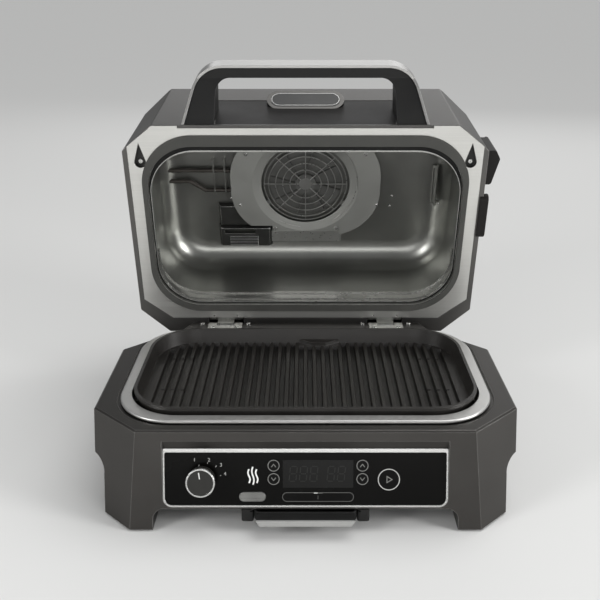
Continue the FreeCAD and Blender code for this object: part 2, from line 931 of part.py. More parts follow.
def build_tray_rails():
    return group(mirrored(tray_rail()))


def build_grease_tray():
    """Open tray with flanges that slide in the rails."""
    low = tray_top_z - tray_depth
    outside = rounded_plate(tray_half_width, tray_front_y, tray_back_y, 9.0, low, tray_top_z)
    inside = rounded_plate(tray_half_width - tray_wall, tray_front_y + tray_wall,
            tray_back_y - tray_wall, 9.0 - tray_wall, low + tray_wall, tray_top_z + 10)
    flange = box(-tray_half_width - tray_flange, tray_half_width + tray_flange, tray_front_y + 14,
            tray_back_y, tray_top_z - tray_wall, tray_top_z)
    shelf_top = tray_top_z - lip_drop
    shelf = box(-tray_lip_half_width, tray_lip_half_width, tray_front_y - lip_reach + lip_thickness,
            tray_front_y, shelf_top - lip_thickness, shelf_top)
    return outside.fuse([flange, shelf]).cut(inside)


def build_tray_handle():
    """Bright strip along the front edge of the tray's shelf, narrower towards its lower edge."""
    front = tray_front_y - lip_reach
    back = front + lip_thickness
    top = tray_top_z - lip_drop
    low = top - lip_skirt
    profile = [(back, low), (back, top), (front + lip_bevel, top), (front, top - lip_bevel), (front, low)]
    half = tray_lip_half_width
    strip = prism_x(profile, -half, half)
    front_view = [(-half + lip_taper, low), (half - lip_taper, low), (half, top), (-half, top)]
    return strip.common(prism_y(front_view, front - 1, back + 1))


# Controls


def build_control_bezel():
    half = fascia_half_width
    frame = fascia_slab(half, 0, fascia_height, -bezel_depth, 1)
    opening = fascia_slab(half - bezel_side, bezel_side, fascia_height - bezel_head, -20, 20, bezel_side)
    return on_fascia(frame.cut(opening))


def pill(x0, x1, v0, v1, low, high):
    """Slab with round ends."""
    return rounded_slab(x0, x1, v0, v1, (v1 - v0) / 2 - 0.01, low, high)


def key_places():
    """Round keys: name, x, height on the fascia and radius."""
    return {
        "temp_up_key": (arrow_left_x, arrow_high_v, arrow_radius),
        "temp_down_key": (arrow_left_x, arrow_low_v, arrow_radius),
        "time_up_key": (arrow_right_x, arrow_high_v, arrow_radius),
        "time_down_key": (arrow_right_x, arrow_low_v, arrow_radius),
        "start_key": (start_x, start_v, start_radius),
    }


def panel_face():
    return -panel_sink


def panel_back():
    return -bezel_depth


def build_control_panel():
    """Black fascia plate with openings for the keys, the dial and the display."""
    gap = bezel_side + panel_gap
    plate = fascia_slab(fascia_half_width - gap, gap, fascia_height - bezel_head - panel_gap,
            panel_back(), panel_face(), gap)
    holes = [cylinder(r + key_clearance, 40, x, v, -20) for x, v, r in key_places().values()]
    holes.append(cylinder(dial_shaft_radius + 1.5, 40, dial_x, dial_v, -20))
    holes.append(box(display_x0, display_x1, display_v0, display_v1, -20, 20))
    c = key_clearance
    holes.append(pill(rocker_x0 - c, rocker_x1 + c, rocker_v0 - c, rocker_v1 + c, -20, 20))
    half = smoke_key_length / 2 + c
    rise = smoke_key_width / 2 + c
    holes.append(pill(smoke_key_x - half, smoke_key_x + half, smoke_key_v - rise, smoke_key_v + rise,
            -20, 20))
    return on_fascia(plate.cut(holes))


def build_display_window():
    g = panel_gap
    return on_fascia(box(display_x0 + g, display_x1 - g, display_v0 + g, display_v1 - g, panel_back(),
            panel_face() - 0.3))


def key_stem(x, v):
    """Stem under a key with the collar that keeps it in the panel."""
    return cylinder(key_stem_radius, stem_length, x, v, panel_back() + 1 - stem_length)


def build_round_key(x, v, radius):
    cap = cylinder(radius, key_proud - panel_back() + panel_face() - key_recess, x, v,
            panel_back() + key_recess)
    rim = [e for e in cap.Edges if e.CenterOfMass.z > panel_face()]
    cap = cap.makeChamfer(0.5, rim)
    collar = cylinder(radius + 1.2, 1.2, x, v, panel_back() - collar_gap - 1.2)
    neck = cylinder(radius - 1, 3, x, v, panel_back() - collar_gap - 0.5)
    return on_fascia(join([cap, neck, collar, key_stem(x, v)]))


def pill_key(x0, x1, v0, v1):
    cap = pill(x0, x1, v0, v1, panel_back() + key_recess, panel_face() + key_proud)
    rim = [e for e in cap.Edges if e.CenterOfMass.z > panel_face() + key_proud - 0.01]
    return cap.makeChamfer(0.5, rim)


def build_smoke_key():
    half = smoke_key_length / 2
    rise = smoke_key_width / 2
    cap = pill_key(smoke_key_x - half, smoke_key_x + half, smoke_key_v - rise, smoke_key_v + rise)
    return on_fascia(join([cap, key_stem(smoke_key_x, smoke_key_v)]))


def build_mode_rocker():
    """Long key that tips to either end about a pivot at its middle."""
    middle = (rocker_x0 + rocker_x1) / 2
    rise = (rocker_v0 + rocker_v1) / 2
    cap = pill_key(rocker_x0, rocker_x1, rocker_v0, rocker_v1)
    ear = cylinder(1.5, rocker_v1 - rocker_v0 - 2, middle, rocker_v0 + 1, rocker_pivot_n, (0, 1, 0))
    stems = [key_stem(middle + side * rocker_stem_x, rise) for side in (-1, 1)]
    return on_fascia(join([cap, ear] + stems))


def board_top():
    return panel_back() + 1 - stem_length - key_travel - switch_height - 0.3


def build_control_board():
    """Printed board behind the fascia on four posts that meet the back of the recess."""
    half = fascia_half_width - 3.0
    top = board_top()
    board = box(-half, half, 9, fascia_height - 9, top - board_thickness, top)
    posts = []
    for x in (-half + 4, half - 4):
        for v in (13, fascia_height - 13):
            posts.append(cylinder(3.0, -bezel_depth - base_wall - top, x, v, top))
    return on_fascia(join([board] + posts))


def build_key_switches():
    """Tactile switches on the board, one under each stem."""
    top = board_top()
    places = [(x, v) for x, v, r in key_places().values()]
    places.append((smoke_key_x, smoke_key_v))
    middle = (rocker_x0 + rocker_x1) / 2
    rise = (rocker_v0 + rocker_v1) / 2
    places += [(middle - rocker_stem_x, rise), (middle + rocker_stem_x, rise)]
    return on_fascia(group([box(x - 3, x + 3, v - 3, v + 3, top, top + switch_height) for x, v in places]))


def build_display_module():
    """Lit module behind the display window."""
    low = board_top()
    return on_fascia(box(display_x0 + 3, display_x1 - 3, display_v0 + 3, display_v1 - 3, low, panel_back()))


def build_dial_encoder():
    """Rotary switch on the board with the bushing the dial's shaft turns in."""
    low = board_top()
    body = box(dial_x - 8, dial_x + 8, dial_v - 8, dial_v + 8, low, low + 5)
    bushing = cylinder(dial_shaft_radius + 2, panel_back() - low - 5 - 0.5, dial_x, dial_v, low + 5)
    bore = cylinder(dial_shaft_radius + dial_bore_clearance, 40, dial_x, dial_v, low + 2)
    return on_fascia(body.fuse(bushing).cut(bore))


def build_dial_knob():
    """Grip of the dial, slightly tapered, with its shaft."""
    foot = panel_face() + dial_gap
    grip = Part.makeCone(dial_radius, dial_radius - 1.0, dial_height, V(dial_x, dial_v, foot))
    seat = cylinder(dial_ring_radius - dial_ring_width, dial_ring_height, dial_x, dial_v,
            foot + dial_height - dial_ring_height)
    outer = cylinder(dial_ring_radius + 5, dial_ring_height, dial_x, dial_v,
            foot + dial_height - dial_ring_height)
    grip = grip.cut(outer.cut(seat))
    shaft = cylinder(dial_shaft_radius, foot - board_top() - 3, dial_x, dial_v, board_top() + 3)
    mark = box(dial_x - 0.8, dial_x + 0.8, dial_v + 6, dial_v + dial_radius - 4,
            foot + dial_height - 0.6, foot + dial_height + 5)
    mark.rotate(V(dial_x, dial_v, 0), V(0, 0, 1), dial_rest_angle)
    return on_fascia(join([grip, shaft]).cut(mark))


def build_dial_ring():
    """Bright ring round the front of the dial."""
    low = panel_face() + dial_gap + dial_height - dial_ring_height
    ring = cylinder(dial_ring_radius, dial_ring_height + 0.6, dial_x, dial_v, low)
    rim = [e for e in ring.Edges if abs(e.CenterOfMass.z - low - dial_ring_height - 0.6) < 0.01]
    ring = ring.makeFillet(1.0, rim)
    return on_fascia(ring.cut(cylinder(dial_ring_radius - dial_ring_width, 40, dial_x, dial_v, low - 5)))


def build_dial_pointer():
    """White line let into the face of the dial."""
    foot = panel_face() + dial_gap
    mark = box(dial_x - 0.8, dial_x + 0.8, dial_v + 6, dial_v + dial_radius - 4,
            foot + dial_height - 0.6, foot + dial_height + 0.1)
    mark.rotate(V(dial_x, dial_v, 0), V(0, 0, 1), dial_rest_angle)
    return on_fascia(mark)


def build_power_board():
    """Supply board on the floor behind the well's front wall, with its tallest parts."""
    floor = arch_height + base_wall + floor_thickness
    board = box(-170, -40, 20, 105, floor + 3, floor + 4.6)
    parts = [box(-160, -130, 30, 60, floor + 4.6, floor + 18), box(-110, -80, 70, 95, floor + 4.6,
            floor + 15)]
    parts.append(cylinder(7, 13, -70, 45, floor + 4.6))
    posts = [cylinder(3, 3, x, y, floor) for x in (-165, -45) for y in (25, 100)]
    return join([board] + parts + posts)


# Hinges, vent and gland


def knuckle(x0, x1):
    return cylinder(knuckle_radius, x1 - x0, x0, pivot_y, pivot_z, (1, 0, 0))


def hinge_halves():
    """Half the width of the lid's knuckle, and of the whole hinge."""
    return hinge_width / 4, hinge_width / 2


def build_base_hinge_leaves():
    """Leaves screwed to the shelf, each with two knuckles."""
    inner, outer = hinge_halves()
    leaves = []
    for x in (-hinge_x, hinge_x):
        plate = box(x - outer, x + outer, pivot_y - hinge_reach - base_leaf_reach, pivot_y, deck_height,
                deck_height + leaf_thickness)
        gap = box(x - inner - knuckle_gap, x + inner + knuckle_gap, pivot_y - hinge_reach, pivot_y + 20,
                pivot_z - 20, deck_height + 10)
        barrels = [knuckle(x - outer, x - inner - knuckle_gap), knuckle(x + inner + knuckle_gap, x + outer)]
        holes = screw_holes(base_leaf_screw_places(), deck_height)
        bore = cylinder(pin_radius, hinge_width + 4, x - outer - 2, pivot_y, pivot_z, (1, 0, 0))
        leaves.append(join([plate.cut(gap)] + barrels).cut(holes + [bore]))
    return group(leaves)


def build_hinge_pins():
    half = hinge_width / 2
    return group([cylinder(pin_radius, hinge_width, x - half, pivot_y, pivot_z, (1, 0,
            0)) for x in (-hinge_x, hinge_x)])


def build_lid_hinge_leaves():
    """Leaves on the back of the lid frame, each with one knuckle between those of the base."""
    inner, outer = hinge_halves()
    inner -= knuckle_gap
    low = lid_rim_z + frame_thickness
    leaves = []
    for x in (-hinge_x, hinge_x):
        plate = box(x - outer, x + outer, lid_leaf_front_y, lid_leaf_back_y, low, low + leaf_thickness)
        web = box(x - inner, x + inner, lid_leaf_back_y - leaf_thickness, lid_leaf_back_y, pivot_z,
                low + leaf_thickness)
        barrel = knuckle(x - inner, x + inner)
        bore = cylinder(pin_radius + pin_clearance, hinge_width, x - outer, pivot_y, pivot_z, (1, 0, 0))
        leaves.append(join([plate, web, barrel]).cut(bore))
    return group(leaves)


def build_rear_vent():
    """Slotted insert in the back of the base."""
    drop = (deck_height - (vent_low + vent_high) / 2) / deck_height
    back = deck_back_y + back_rake * drop
    g = panel_gap
    insert = box(-vent_half_width + g, vent_half_width - g, back - base_wall, back - 0.5, vent_low + g,
            vent_high - g)
    pitch = 2 * vent_half_width / vent_bars
    slots = []
    for i in range(1, vent_bars):
        x = -vent_half_width + i * pitch
        slots.append(box(x - 1.6, x + 1.6, back - 20, back + 20, vent_low + 3, vent_high - 3))
    return insert.cut(slots)


def build_cord_gland():
    """Moulded gland where the supply lead enters the back."""
    drop = (deck_height - gland_z) / deck_height
    back = deck_back_y + back_rake * drop
    body = cylinder(gland_radius, base_wall + 6, gland_x, back - base_wall - 2, gland_z, (0, 1, 0))
    collar = cylinder(gland_radius + 3, 4, gland_x, back + 1, gland_z, (0, 1, 0))
    bore = cylinder(gland_radius - 3.5, 60, gland_x, back - 20, gland_z, (0, 1, 0))
    return join([body, collar]).cut(bore)


# Lid


def lid_outline(z):
    """Outline of the lid at a height, shut: an octagon whose walls lean a little."""
    rise = (z - lid_rim_z) / (lid_brow_z - lid_rim_z)
    side = lid_rim_side_half - lid_side_lean * rise
    front_half = lid_rim_front_half - lid_corner_lean * rise
    back_half = lid_rim_back_half - lid_corner_lean * rise
    front_y = lid_rim_front_y - lid_front_lean * rise
    back_y = lid_rim_back_y - lid_back_lean * rise
    side_front_y = front_y + (side - front_half) * lid_front_corner_ratio
    side_back_y = back_y - (side - back_half) * lid_back_corner_ratio
    return octagon(front_half, front_y, side, side_front_y, side_back_y, back_half, back_y)


def lid_form(skin, low, edge_round=0.0):
    """Faceted body of the lid with bevels at the front, back and shoulders of the roof."""
    form = loft_outlines(inset(lid_outline(low), skin), low, inset(lid_outline(lid_roof_z), skin),
            lid_roof_z)
    floor = low - 50
    brow_y = lid_rim_front_y - lid_front_lean
    slope = lid_brow_bevel / (lid_roof_z - lid_brow_z)
    lower = lid_brow_z - 20
    back_slope = (lid_rim_back_y - lid_back_bevel_y) / (lid_roof_z - lid_back_bevel_z)
    far = lid_rim_back_y + 20
    side_view = [(brow_y - 20 * slope, floor), (far, floor), (far, lid_back_bevel_z - 20 / back_slope)]
    side_view += [(lid_back_bevel_y, lid_roof_z), (brow_y + lid_brow_bevel, lid_roof_z),
            (brow_y - 20 * slope, lower)]
    roof_half = lid_shoulder_half - (lid_roof_z - lid_shoulder_z) / lid_shoulder_slope
    outer = lid_shoulder_half + 20
    shoulder = lid_shoulder_z - 20 * lid_shoulder_slope
    front_view = [(-outer, floor), (outer, floor), (outer, shoulder), (roof_half, lid_roof_z)]
    front_view += [(-roof_half, lid_roof_z), (-outer, shoulder)]
    form = form.common(prism_x(inset(side_view, skin), -beyond_all, beyond_all))
    form = form.common(prism_y(inset(front_view, skin), -beyond_all, beyond_all))
    if edge_round > 0:
        upper = [e for e in form.Edges if e.CenterOfMass.z > low + 1]
        form = form.makeFillet(edge_round, upper)
    return form


def frame_outline(skin):
    outline = octagon(frame_front_half, frame_front_y, frame_side_half, frame_side_front_y,
            frame_side_back_y, frame_back_half, frame_back_y)
    return inset(outline, skin)


def lid_layer(outer, inner):
    """Layer of the lid's skin between two depths."""
    return lid_form(outer, lid_rim_z).cut(lid_form(inner, lid_rim_z - 5))


def inset_panel_outline(gap):
    low, high = inset_low_z - gap, inset_high_z + gap
    a, b = inset_low_half + gap, inset_high_half + gap
    return prism_y([(-a, low), (a, low), (b, high), (-b, high)], lid_rim_front_y - 40, lid_rim_front_y + 40)


def smoke_box_plan(skin):
    """Outline of the smoke box from above, widest near its front."""
    out = smoke_box_out
    plan = [(smoke_box_inner - 10, smoke_box_front_y), (out - smoke_box_front_cut, smoke_box_front_y)]
    plan += [(out, smoke_box_nose_y), (out - smoke_box_back_cut, smoke_box_back_y),
            (smoke_box_inner - 10, smoke_box_back_y)]
    return inset(plan, skin)


def smoke_box_body(skin, low, high):
    """Pot on the right side of the lid, running in through the side wall."""
    body = prism_z(smoke_box_plan(skin), low, high)
    outer = [e for e in body.Edges if abs(e.tangentAt(0).z) > 0.9 and e.CenterOfMass.x > lid_rim_side_half]
    body = body.makeFillet(smoke_box_round - skin, outer)
    return body.cut(box(0, smoke_box_inner, -beyond_all, beyond_all, 0, beyond_all))


def build_lid_shell():
    """Outer skin of the lid with a turned-in lip round the frame."""
    lip_top = lid_rim_z + frame_thickness + shell_wall
    shell = lid_form(0, lid_rim_z, shell_edge_round).cut(lid_form(shell_wall, lip_top))
    seat = prism_z(frame_outline(0), lid_rim_z - 1, lid_rim_z + frame_thickness)
    through = prism_z(frame_outline(frame_ledge), lid_rim_z - 1, lip_top + 1)
    cuts = [seat, through]
    for x in (-hinge_x, hinge_x):
        half = hinge_width / 2 + hinge_side_gap
        cuts.append(box(x - half, x + half, lid_leaf_front_y - 0.5, lid_rim_back_y - shell_wall - 3,
                lid_rim_z - 1, lip_top + 1))
    cuts.append(inset_panel_outline(panel_gap).common(lid_layer(-1, inset_depth)))
    return shell.cut(cuts).fuse(badge_boss()).cut(on_badge(badge_pill(panel_gap / 2, -badge_thickness, 40)))


def build_lid_inset_panel():
    """Dark panel let into the front wall between the legs of the handle."""
    panel = inset_panel_outline(0).common(lid_layer(0.5, inset_depth))
    return panel.cut(on_badge(badge_pill(badge_border + panel_gap, -badge_boss_depth, 40)))


def on_badge(shape):
    """Places a shape drawn as (x, up the badge, out of the badge) below the brow of the lid."""
    placed = shape.copy()
    placed.rotate(V(0, 0, 0), V(1, 0, 0), 90 + badge_tilt)
    lean = lid_front_lean * (badge_low_z - lid_rim_z) / (lid_brow_z - lid_rim_z)
    placed.translate(V(0, lid_rim_front_y - lean - badge_thickness, badge_low_z))
    return placed


def badge_pill(border, low, high):
    """Pill outline of the badge, widened by a border."""
    return pill(-badge_half_width - border, badge_half_width + border, -border, badge_height + border,
            low, high)


def badge_boss():
    """Boss under the brow that carries the badge on its slanting face."""
    body = on_badge(badge_pill(badge_border, -badge_boss_depth, 0))
    top = badge_low_z + badge_height + badge_border
    front = lid_rim_front_y - lid_front_lean
    out = badge_height * math.sin(math.radians(badge_tilt)) + badge_border
    reach = [(front + 20, top + out), (front + 20, badge_low_z - 2 * badge_border), (front - 2 * out,
            badge_low_z - 2 * badge_border)]
    reach += [(front - 2 * out, top - out)]
    return body.common(prism_x(reach, -beyond_all, beyond_all)).cut(lid_form(shell_wall, lid_rim_z - 5))


def build_badge_plate():
    """Blank pill-shaped plate let into the face of the boss."""
    return on_badge(badge_pill(0, -badge_thickness, badge_thickness / 2))


def handle_block(skin):
    """Outer form of the handle: legs that converge from the lid's front wall to the bar."""
    wall_y = lid_rim_front_y + 10
    bar_y = lid_rim_front_y - handle_reach + skin
    lean = (handle_foot_half - handle_half_width) / handle_reach
    offset = skin * math.hypot(1, lean)
    foot = handle_foot_half + 10 * lean - offset
    bar = handle_half_width - offset + skin * lean
    block = prism_z([(-bar, bar_y), (bar, bar_y), (foot, wall_y), (-foot, wall_y)], 0, beyond_all)
    corners = [e for e in block.Edges if abs(e.CenterOfMass.y - bar_y) < 0.01 and abs(e.tangentAt(0).z) > 0.9]
    return block.makeFillet(handle_corner - skin, corners)


def handle_hollow():
    """Space for the fingers between the bar and the lid."""
    wall_y = lid_rim_front_y + 10
    bar_y = lid_rim_front_y - handle_reach + handle_bar
    a, b = handle_inner_half, handle_inner_foot_half
    block = prism_z([(-a, bar_y), (a, bar_y), (b, wall_y), (-b, wall_y)], 0, beyond_all)
    corners = [e for e in block.Edges if abs(e.CenterOfMass.y - bar_y) < 0.01 and abs(e.tangentAt(0).z) > 0.9]
    return block.makeFillet(handle_inner_corner, corners)


def handle_side_view(skin):
    """Side profile, deep at the lid and slim at the bar."""
    wall_y = lid_rim_front_y + 10
    bar_y = lid_rim_front_y - handle_reach + handle_bar
    front_y = lid_rim_front_y - handle_reach - 1
    low, high = handle_low_z + skin, handle_high_z - skin
    profile = [(wall_y, handle_root_low_z + skin), (bar_y, low), (front_y, low), (front_y, high),
            (bar_y, high)]
    profile.append((wall_y, handle_root_high_z - skin))
    return prism_x(profile, -beyond_all, beyond_all)


def build_handle_grip():
    """Black inner part of the handle."""
    grip = handle_block(strap_thickness).cut(handle_hollow()).common(handle_side_view(strap_lap))
    return grip.cut(lid_form(0, lid_rim_z))


def build_handle_strap():
    """Metal strap round the outside of the handle."""
    strap = handle_block(0).cut(handle_block(strap_thickness)).common(handle_side_view(0))
    return strap.cut(lid_form(0, lid_rim_z))


def teardrop(skin, low, high):
    """Prism on a drop shape that points to the front, on the right."""
    r = cup_radius - skin
    disc = cylinder(r, high - low, cup_x, cup_y, low)
    reach = cup_y - cup_point_y - skin * 2
    angle = math.acos(r / reach)
    tx, ty = r * math.sin(angle), -r * math.cos(angle)
    point = prism_z([(cup_x, cup_y - reach), (cup_x + tx, cup_y + ty), (cup_x, cup_y), (cup_x - tx,
            cup_y + ty)], low, high)
    return disc.fuse(point).removeSplitter()


def build_screw_cups():
    """Drop-shaped cups let into the frame at its front corners."""
    top = lid_rim_z + cup_depth
    cup = teardrop(0, lid_rim_z, top).cut(teardrop(cup_wall, lid_rim_z - 1, top - cup_wall))
    cup = cup.cut(cylinder(screw_shank_radius, 20, cup_x, cup_y, top - 10))
    return group(mirrored(cup))


def liner_form(skin, low):
    """Rounded hollow of the lid with a tilted ceiling."""
    front, back = liner_front_y + skin, liner_back_y - skin
    top = lid_roof_z + 20
    form = rounded_plate(liner_half_width - skin, front, back, liner_radius - skin, low, top)
    tilt = math.tan(math.radians(liner_tilt))
    level = liner_ceiling_z - skin / math.cos(math.radians(liner_tilt))
    profile = [(front - 50, low - 5), (back + 50, low - 5)]
    profile += [(back + 50, level + (back + 50 - fan_y) * tilt), (front - 50,
            level + (front - 50 - fan_y) * tilt)]
    form = form.common(prism_x(profile, -beyond_all, beyond_all))
    low_edge = level + (front - fan_y) * tilt - 1
    ceiling = [e for e in form.Edges if e.BoundBox.ZMin > low_edge]
    return form.makeFillet(liner_ceiling_round - skin, ceiling)


def on_ceiling(shape):
    """Places a shape drawn about the fan's axis, z = 0 on the ceiling of the liner."""
    placed = shape.copy()
    placed.rotate(V(0, 0, 0), V(1, 0, 0), liner_tilt)
    placed.translate(V(0, fan_y, liner_ceiling_z))
    return placed


def liner_opening(skin, low, high):
    front, back = liner_front_y + skin, liner_back_y - skin
    return rounded_plate(liner_half_width - skin, front, back, liner_radius - skin, low, high)


def mouth_opening(low, high):
    """Opening of the frame and of the seal."""
    return rounded_plate(mouth_half_width, mouth_front_y, mouth_back_y, mouth_radius, low, high)


def build_lid_liner():
    """Deep-drawn bright liner with a flange on top of the frame."""
    low = lid_rim_z + frame_thickness
    flange = liner_opening(-liner_flange, low, low + liner_wall)
    shell = liner_form(-liner_wall, low).fuse(flange).cut(liner_form(0, low - 5))
    shaft_hole = on_ceiling(cylinder(fan_shaft_radius + 2, 40, 0, 0, -20))
    leads = []
    for y in (lid_heater_front_y, lid_heater_exit_y):
        lead = cylinder(heater_radius, 60, -liner_half_width - 30, y - fan_y, -lid_heater_drop, (1, 0, 0))
        leads.append(on_ceiling(lead))
    return shell.cut([shaft_hole] + leads)


def build_lid_frame():
    """Flat satin frame round the opening of the lid."""
    low = lid_rim_z
    high = low + frame_thickness
    plate = prism_z(frame_outline(frame_gap), low, high)
    notch = box(-frame_notch_half, frame_notch_half, frame_front_y - 5,
            frame_front_y + frame_notch_depth, low - 1, high + 1)
    cups = mirrored(teardrop(0, low - 1, high + 1))
    return plate.cut([mouth_opening(low - 1, high + 1), notch] + cups)


def build_lid_seal():
    """Flat seal round the opening, under the frame."""
    low = lid_rim_z - seal_height
    band = rounded_plate(seal_half_width, seal_front_y, seal_back_y, seal_radius, low, lid_rim_z)
    edges = [e for e in band.Edges if abs(e.CenterOfMass.z - low) < 0.01]
    band = band.makeFillet(1.0, edges)
    return band.cut(mouth_opening(low - 1, lid_rim_z + 1))


def shroud_plan(low, high):
    """Rounded plate with a tab at the back, cut off short of the liner's front wall."""
    half = shroud_half_depth
    plate = rounded_plate(shroud_half_width, -half, half, shroud_radius, low, high)
    front = box(-beyond_all, beyond_all, -beyond_all, liner_front_y + shroud_front_gap - fan_y, low - 1,
            high + 1)
    tab = box(-shroud_tab_half, shroud_tab_half, 0, shroud_tab_reach, low, high)
    clear = box(-beyond_all, louvre_x1 + 1, louvre_front - 1, beyond_all, low - 1, high + 1)
    return plate.cut(front).fuse(tab).removeSplitter().cut(clear)


def guard_cone(offset):
    """Solid of revolution inside the sloping recess round the fan."""
    low = -shroud_stand - shroud_thickness - 1
    high = -shroud_stand - shroud_thickness + guard_recess
    top = high + offset
    slope = (guard_slope_radius - guard_hole_radius) / guard_recess
    outer = guard_slope_radius + slope + offset
    inner = guard_hole_radius + offset * 0.5
    return Part.makeCone(outer, inner, top - low, V(0, 0, low))


def build_fan_shroud():
    """Plate under the fan and the heating ring, with a sloping recess for the guard, on posts."""
    low = -shroud_stand - shroud_thickness
    plate = shroud_plan(low, -shroud_stand)
    recess = guard_cone(shroud_thickness).cut(box(-beyond_all, beyond_all, -beyond_all, beyond_all,
            low - 10, low))
    hole = cylinder(guard_hole_radius, 60, 0, 0, low - 20)
    plate = plate.fuse(recess).cut([guard_cone(0), hole])
    posts = []
    for x, y in shroud_screw_places():
        posts.append(cylinder(5.0, shroud_stand, x, y, -shroud_stand))
    holes = [cylinder(screw_shank_radius, 30, x, y, low - 5) for x, y in shroud_screw_places()]
    return on_ceiling(join([plate] + posts).cut(holes))


def shroud_screw_places():
    """Two screws beside the tab and two at the front corners."""
    return [(-60.5, 96.0), (60.5, 96.0), (-112.0, -66.0), (112.0, -66.0)]


def guard_low():
    return -shroud_stand - shroud_thickness + guard_recess


def guard_ring(radius):
    outer = cylinder(radius, shroud_thickness, 0, 0, guard_low())
    return outer.cut(cylinder(radius - guard_bar, shroud_thickness + 2, 0, 0, guard_low() - 1))


def build_fan_guard():
    """Grille over the fan: flat rings joined by spokes, and three tabs on the shroud."""
    solid = [cylinder(guard_hub_radius, shroud_thickness, 0, 0, guard_low())]
    solid += [guard_ring(guard_first_ring + i * guard_ring_pitch) for i in range(guard_rings)]
    solid.append(guard_ring(guard_radius))
    reach = guard_radius - guard_bar / 2
    for angle in (0, 45, 90, 135):
        bar = box(-reach, reach, -guard_bar / 2, guard_bar / 2, guard_low(), guard_low() + shroud_thickness)
        bar.rotate(V(0, 0, 0), V(0, 0, 1), angle)
        solid.append(bar)
    for angle in (30, 150, 270):
        tab = box(guard_radius - 1, guard_hole_radius + 3, -5, 5, guard_low() + shroud_thickness,
                guard_low() + 2 * shroud_thickness)
        bridge = box(guard_radius - 1.5, guard_radius, -5, 5, guard_low(),
                guard_low() + 2 * shroud_thickness)
        for piece in (tab, bridge):
            piece.rotate(V(0, 0, 0), V(0, 0, 1), angle)
            solid.append(piece)
    return on_ceiling(join(solid))


def build_fan_impeller():
    """Hub, back disc and eight upright blades on the motor's shaft."""
    top = -fan_ceiling_gap
    low = top - fan_blade_height
    disc = cylinder(fan_radius, fan_disc_thickness, 0, 0, top - fan_disc_thickness)
    hub = cylinder(fan_hub_radius, fan_blade_height, 0, 0, low)
    blade = box(fan_hub_radius - 2, fan_radius - 1, -0.6, 0.6, low, top - fan_disc_thickness / 2)
    blade.rotate(V(fan_hub_radius, 0, 0), V(0, 0, 1), 18)
    blades = []
    for i in range(fan_blades):
        turned = blade.copy()
        turned.rotate(V(0, 0, 0), V(0, 0, 1), i * 360 / fan_blades)
        blades.append(turned)
    blades = [b.common(cylinder(fan_radius, 40, 0, 0, -30)) for b in blades]
    shaft = cylinder(fan_shaft_radius, motor_stand + motor_height - 4 - low - 2, 0, 0, low + 2)
    return on_ceiling(join([disc, hub, shaft] + blades))


def build_fan_motor():
    """Motor above the ceiling; its bearing carries the shaft."""
    body = cylinder(motor_radius, motor_height, 0, 0, motor_stand)
    rims = [e for e in body.Edges if len(e.Vertexes) == 1]
    body = body.makeFillet(2.0, rims)
    bore = cylinder(fan_shaft_radius + fan_shaft_clearance, motor_height - 2, 0, 0, motor_stand - 1)
    return on_ceiling(body.cut(bore))


def build_motor_bracket():
    """Bridge that holds the motor on the liner."""
    low = liner_wall
    span = motor_radius + 22
    bridge = box(-span, span, -14, 14, motor_stand - 1.5, motor_stand)
    hole = cylinder(fan_shaft_radius + 3, 30, 0, 0, low - 1)
    feet = []
    for side in (-1, 1):
        x = side * (span - 5)
        feet.append(box(x - 5, x + 5, -14, 14, low, motor_stand))
    return on_ceiling(join([bridge] + feet).cut(hole))


def build_lid_heater():
    """Ring element round the fan whose two legs run to the left and out through the wall."""
    z = -lid_heater_drop
    front, back = lid_heater_front_y - fan_y, lid_heater_back_y - fan_y
    exit_y = lid_heater_exit_y - fan_y
    radius = lid_heater_radius
    out_x = -liner_half_width - 10
    start = V(-math.sqrt(radius * radius - front * front), front, z)
    end = V(-math.sqrt(radius * radius - back * back), back, z)
    bend = V(lid_heater_bend_x, back, z)
    turn = V(lid_heater_exit_x, exit_y, z)
    edges = [
        Part.LineSegment(V(out_x, front, z), start).toShape(),
        Part.Arc(start, V(radius, 0, z), end).toShape(),
        Part.LineSegment(end, bend).toShape(),
        Part.LineSegment(bend, turn).toShape(),
        Part.LineSegment(turn, V(out_x, exit_y, z)).toShape(),
    ]
    parts = []
    for edge in edges:
        section = Part.makeCircle(heater_radius, edge.valueAt(edge.FirstParameter),
                edge.tangentAt(edge.FirstParameter))
        parts.append(Part.Wire([edge]).makePipeShell([Part.Wire([section])], True, False))
    parts += [Part.makeSphere(heater_radius, p) for p in (start, end, bend, turn)]
    return on_ceiling(join(parts))


def heater_straps():
    """Two flat straps that hold the legs of the lid's element to the ceiling."""
    front, back = lid_heater_front_y - fan_y, lid_heater_back_y - fan_y
    low = -lid_heater_drop - heater_radius - stamping_wall
    y0, y1 = front - strap_front_reach, back + strap_back_reach
    straps = []
    for x in heater_strap_x:
        x0, x1 = x - heater_strap_width / 2, x + heater_strap_width / 2
        strap = box(x0, x1, y0, y1, low, low + stamping_wall)
        ends = [box(x0, x1, y0, y0 + stamping_wall, low, 0), box(x0, x1, y1 - stamping_wall, y1, low, 0)]
        straps.append(on_ceiling(join([strap] + ends)))
    return straps


def stamped_form(x0, x1, y0, y1, stand, skin):
    """Sloping-sided form of a stamping that hangs from the ceiling, or its inside."""
    x0, x1, y0, y1 = x0 + skin, x1 - skin, y0 + skin, y1 - skin
    s = stamping_slope
    crest = [(x0 + s, y0 + s), (x1 - s, y0 + s), (x1 - s, y1 - s), (x0 + s, y1 - s)]
    root = [(x0, y0), (x1, y0), (x1, y1), (x0, y1)]
    return loft_outlines(crest, skin - stand, root, skin * 0.01 - stamping_lift)


def louvre(x0, x1, y, low):
    """Slanting blade over one slot of the cover."""
    profile = [(y - 3.2, low + 0.6), (y - 1.9, low + 0.6), (y + 2.0, low - 3.0), (y + 2.0, low - 4.2)]
    return prism_x(profile, x0, x1)


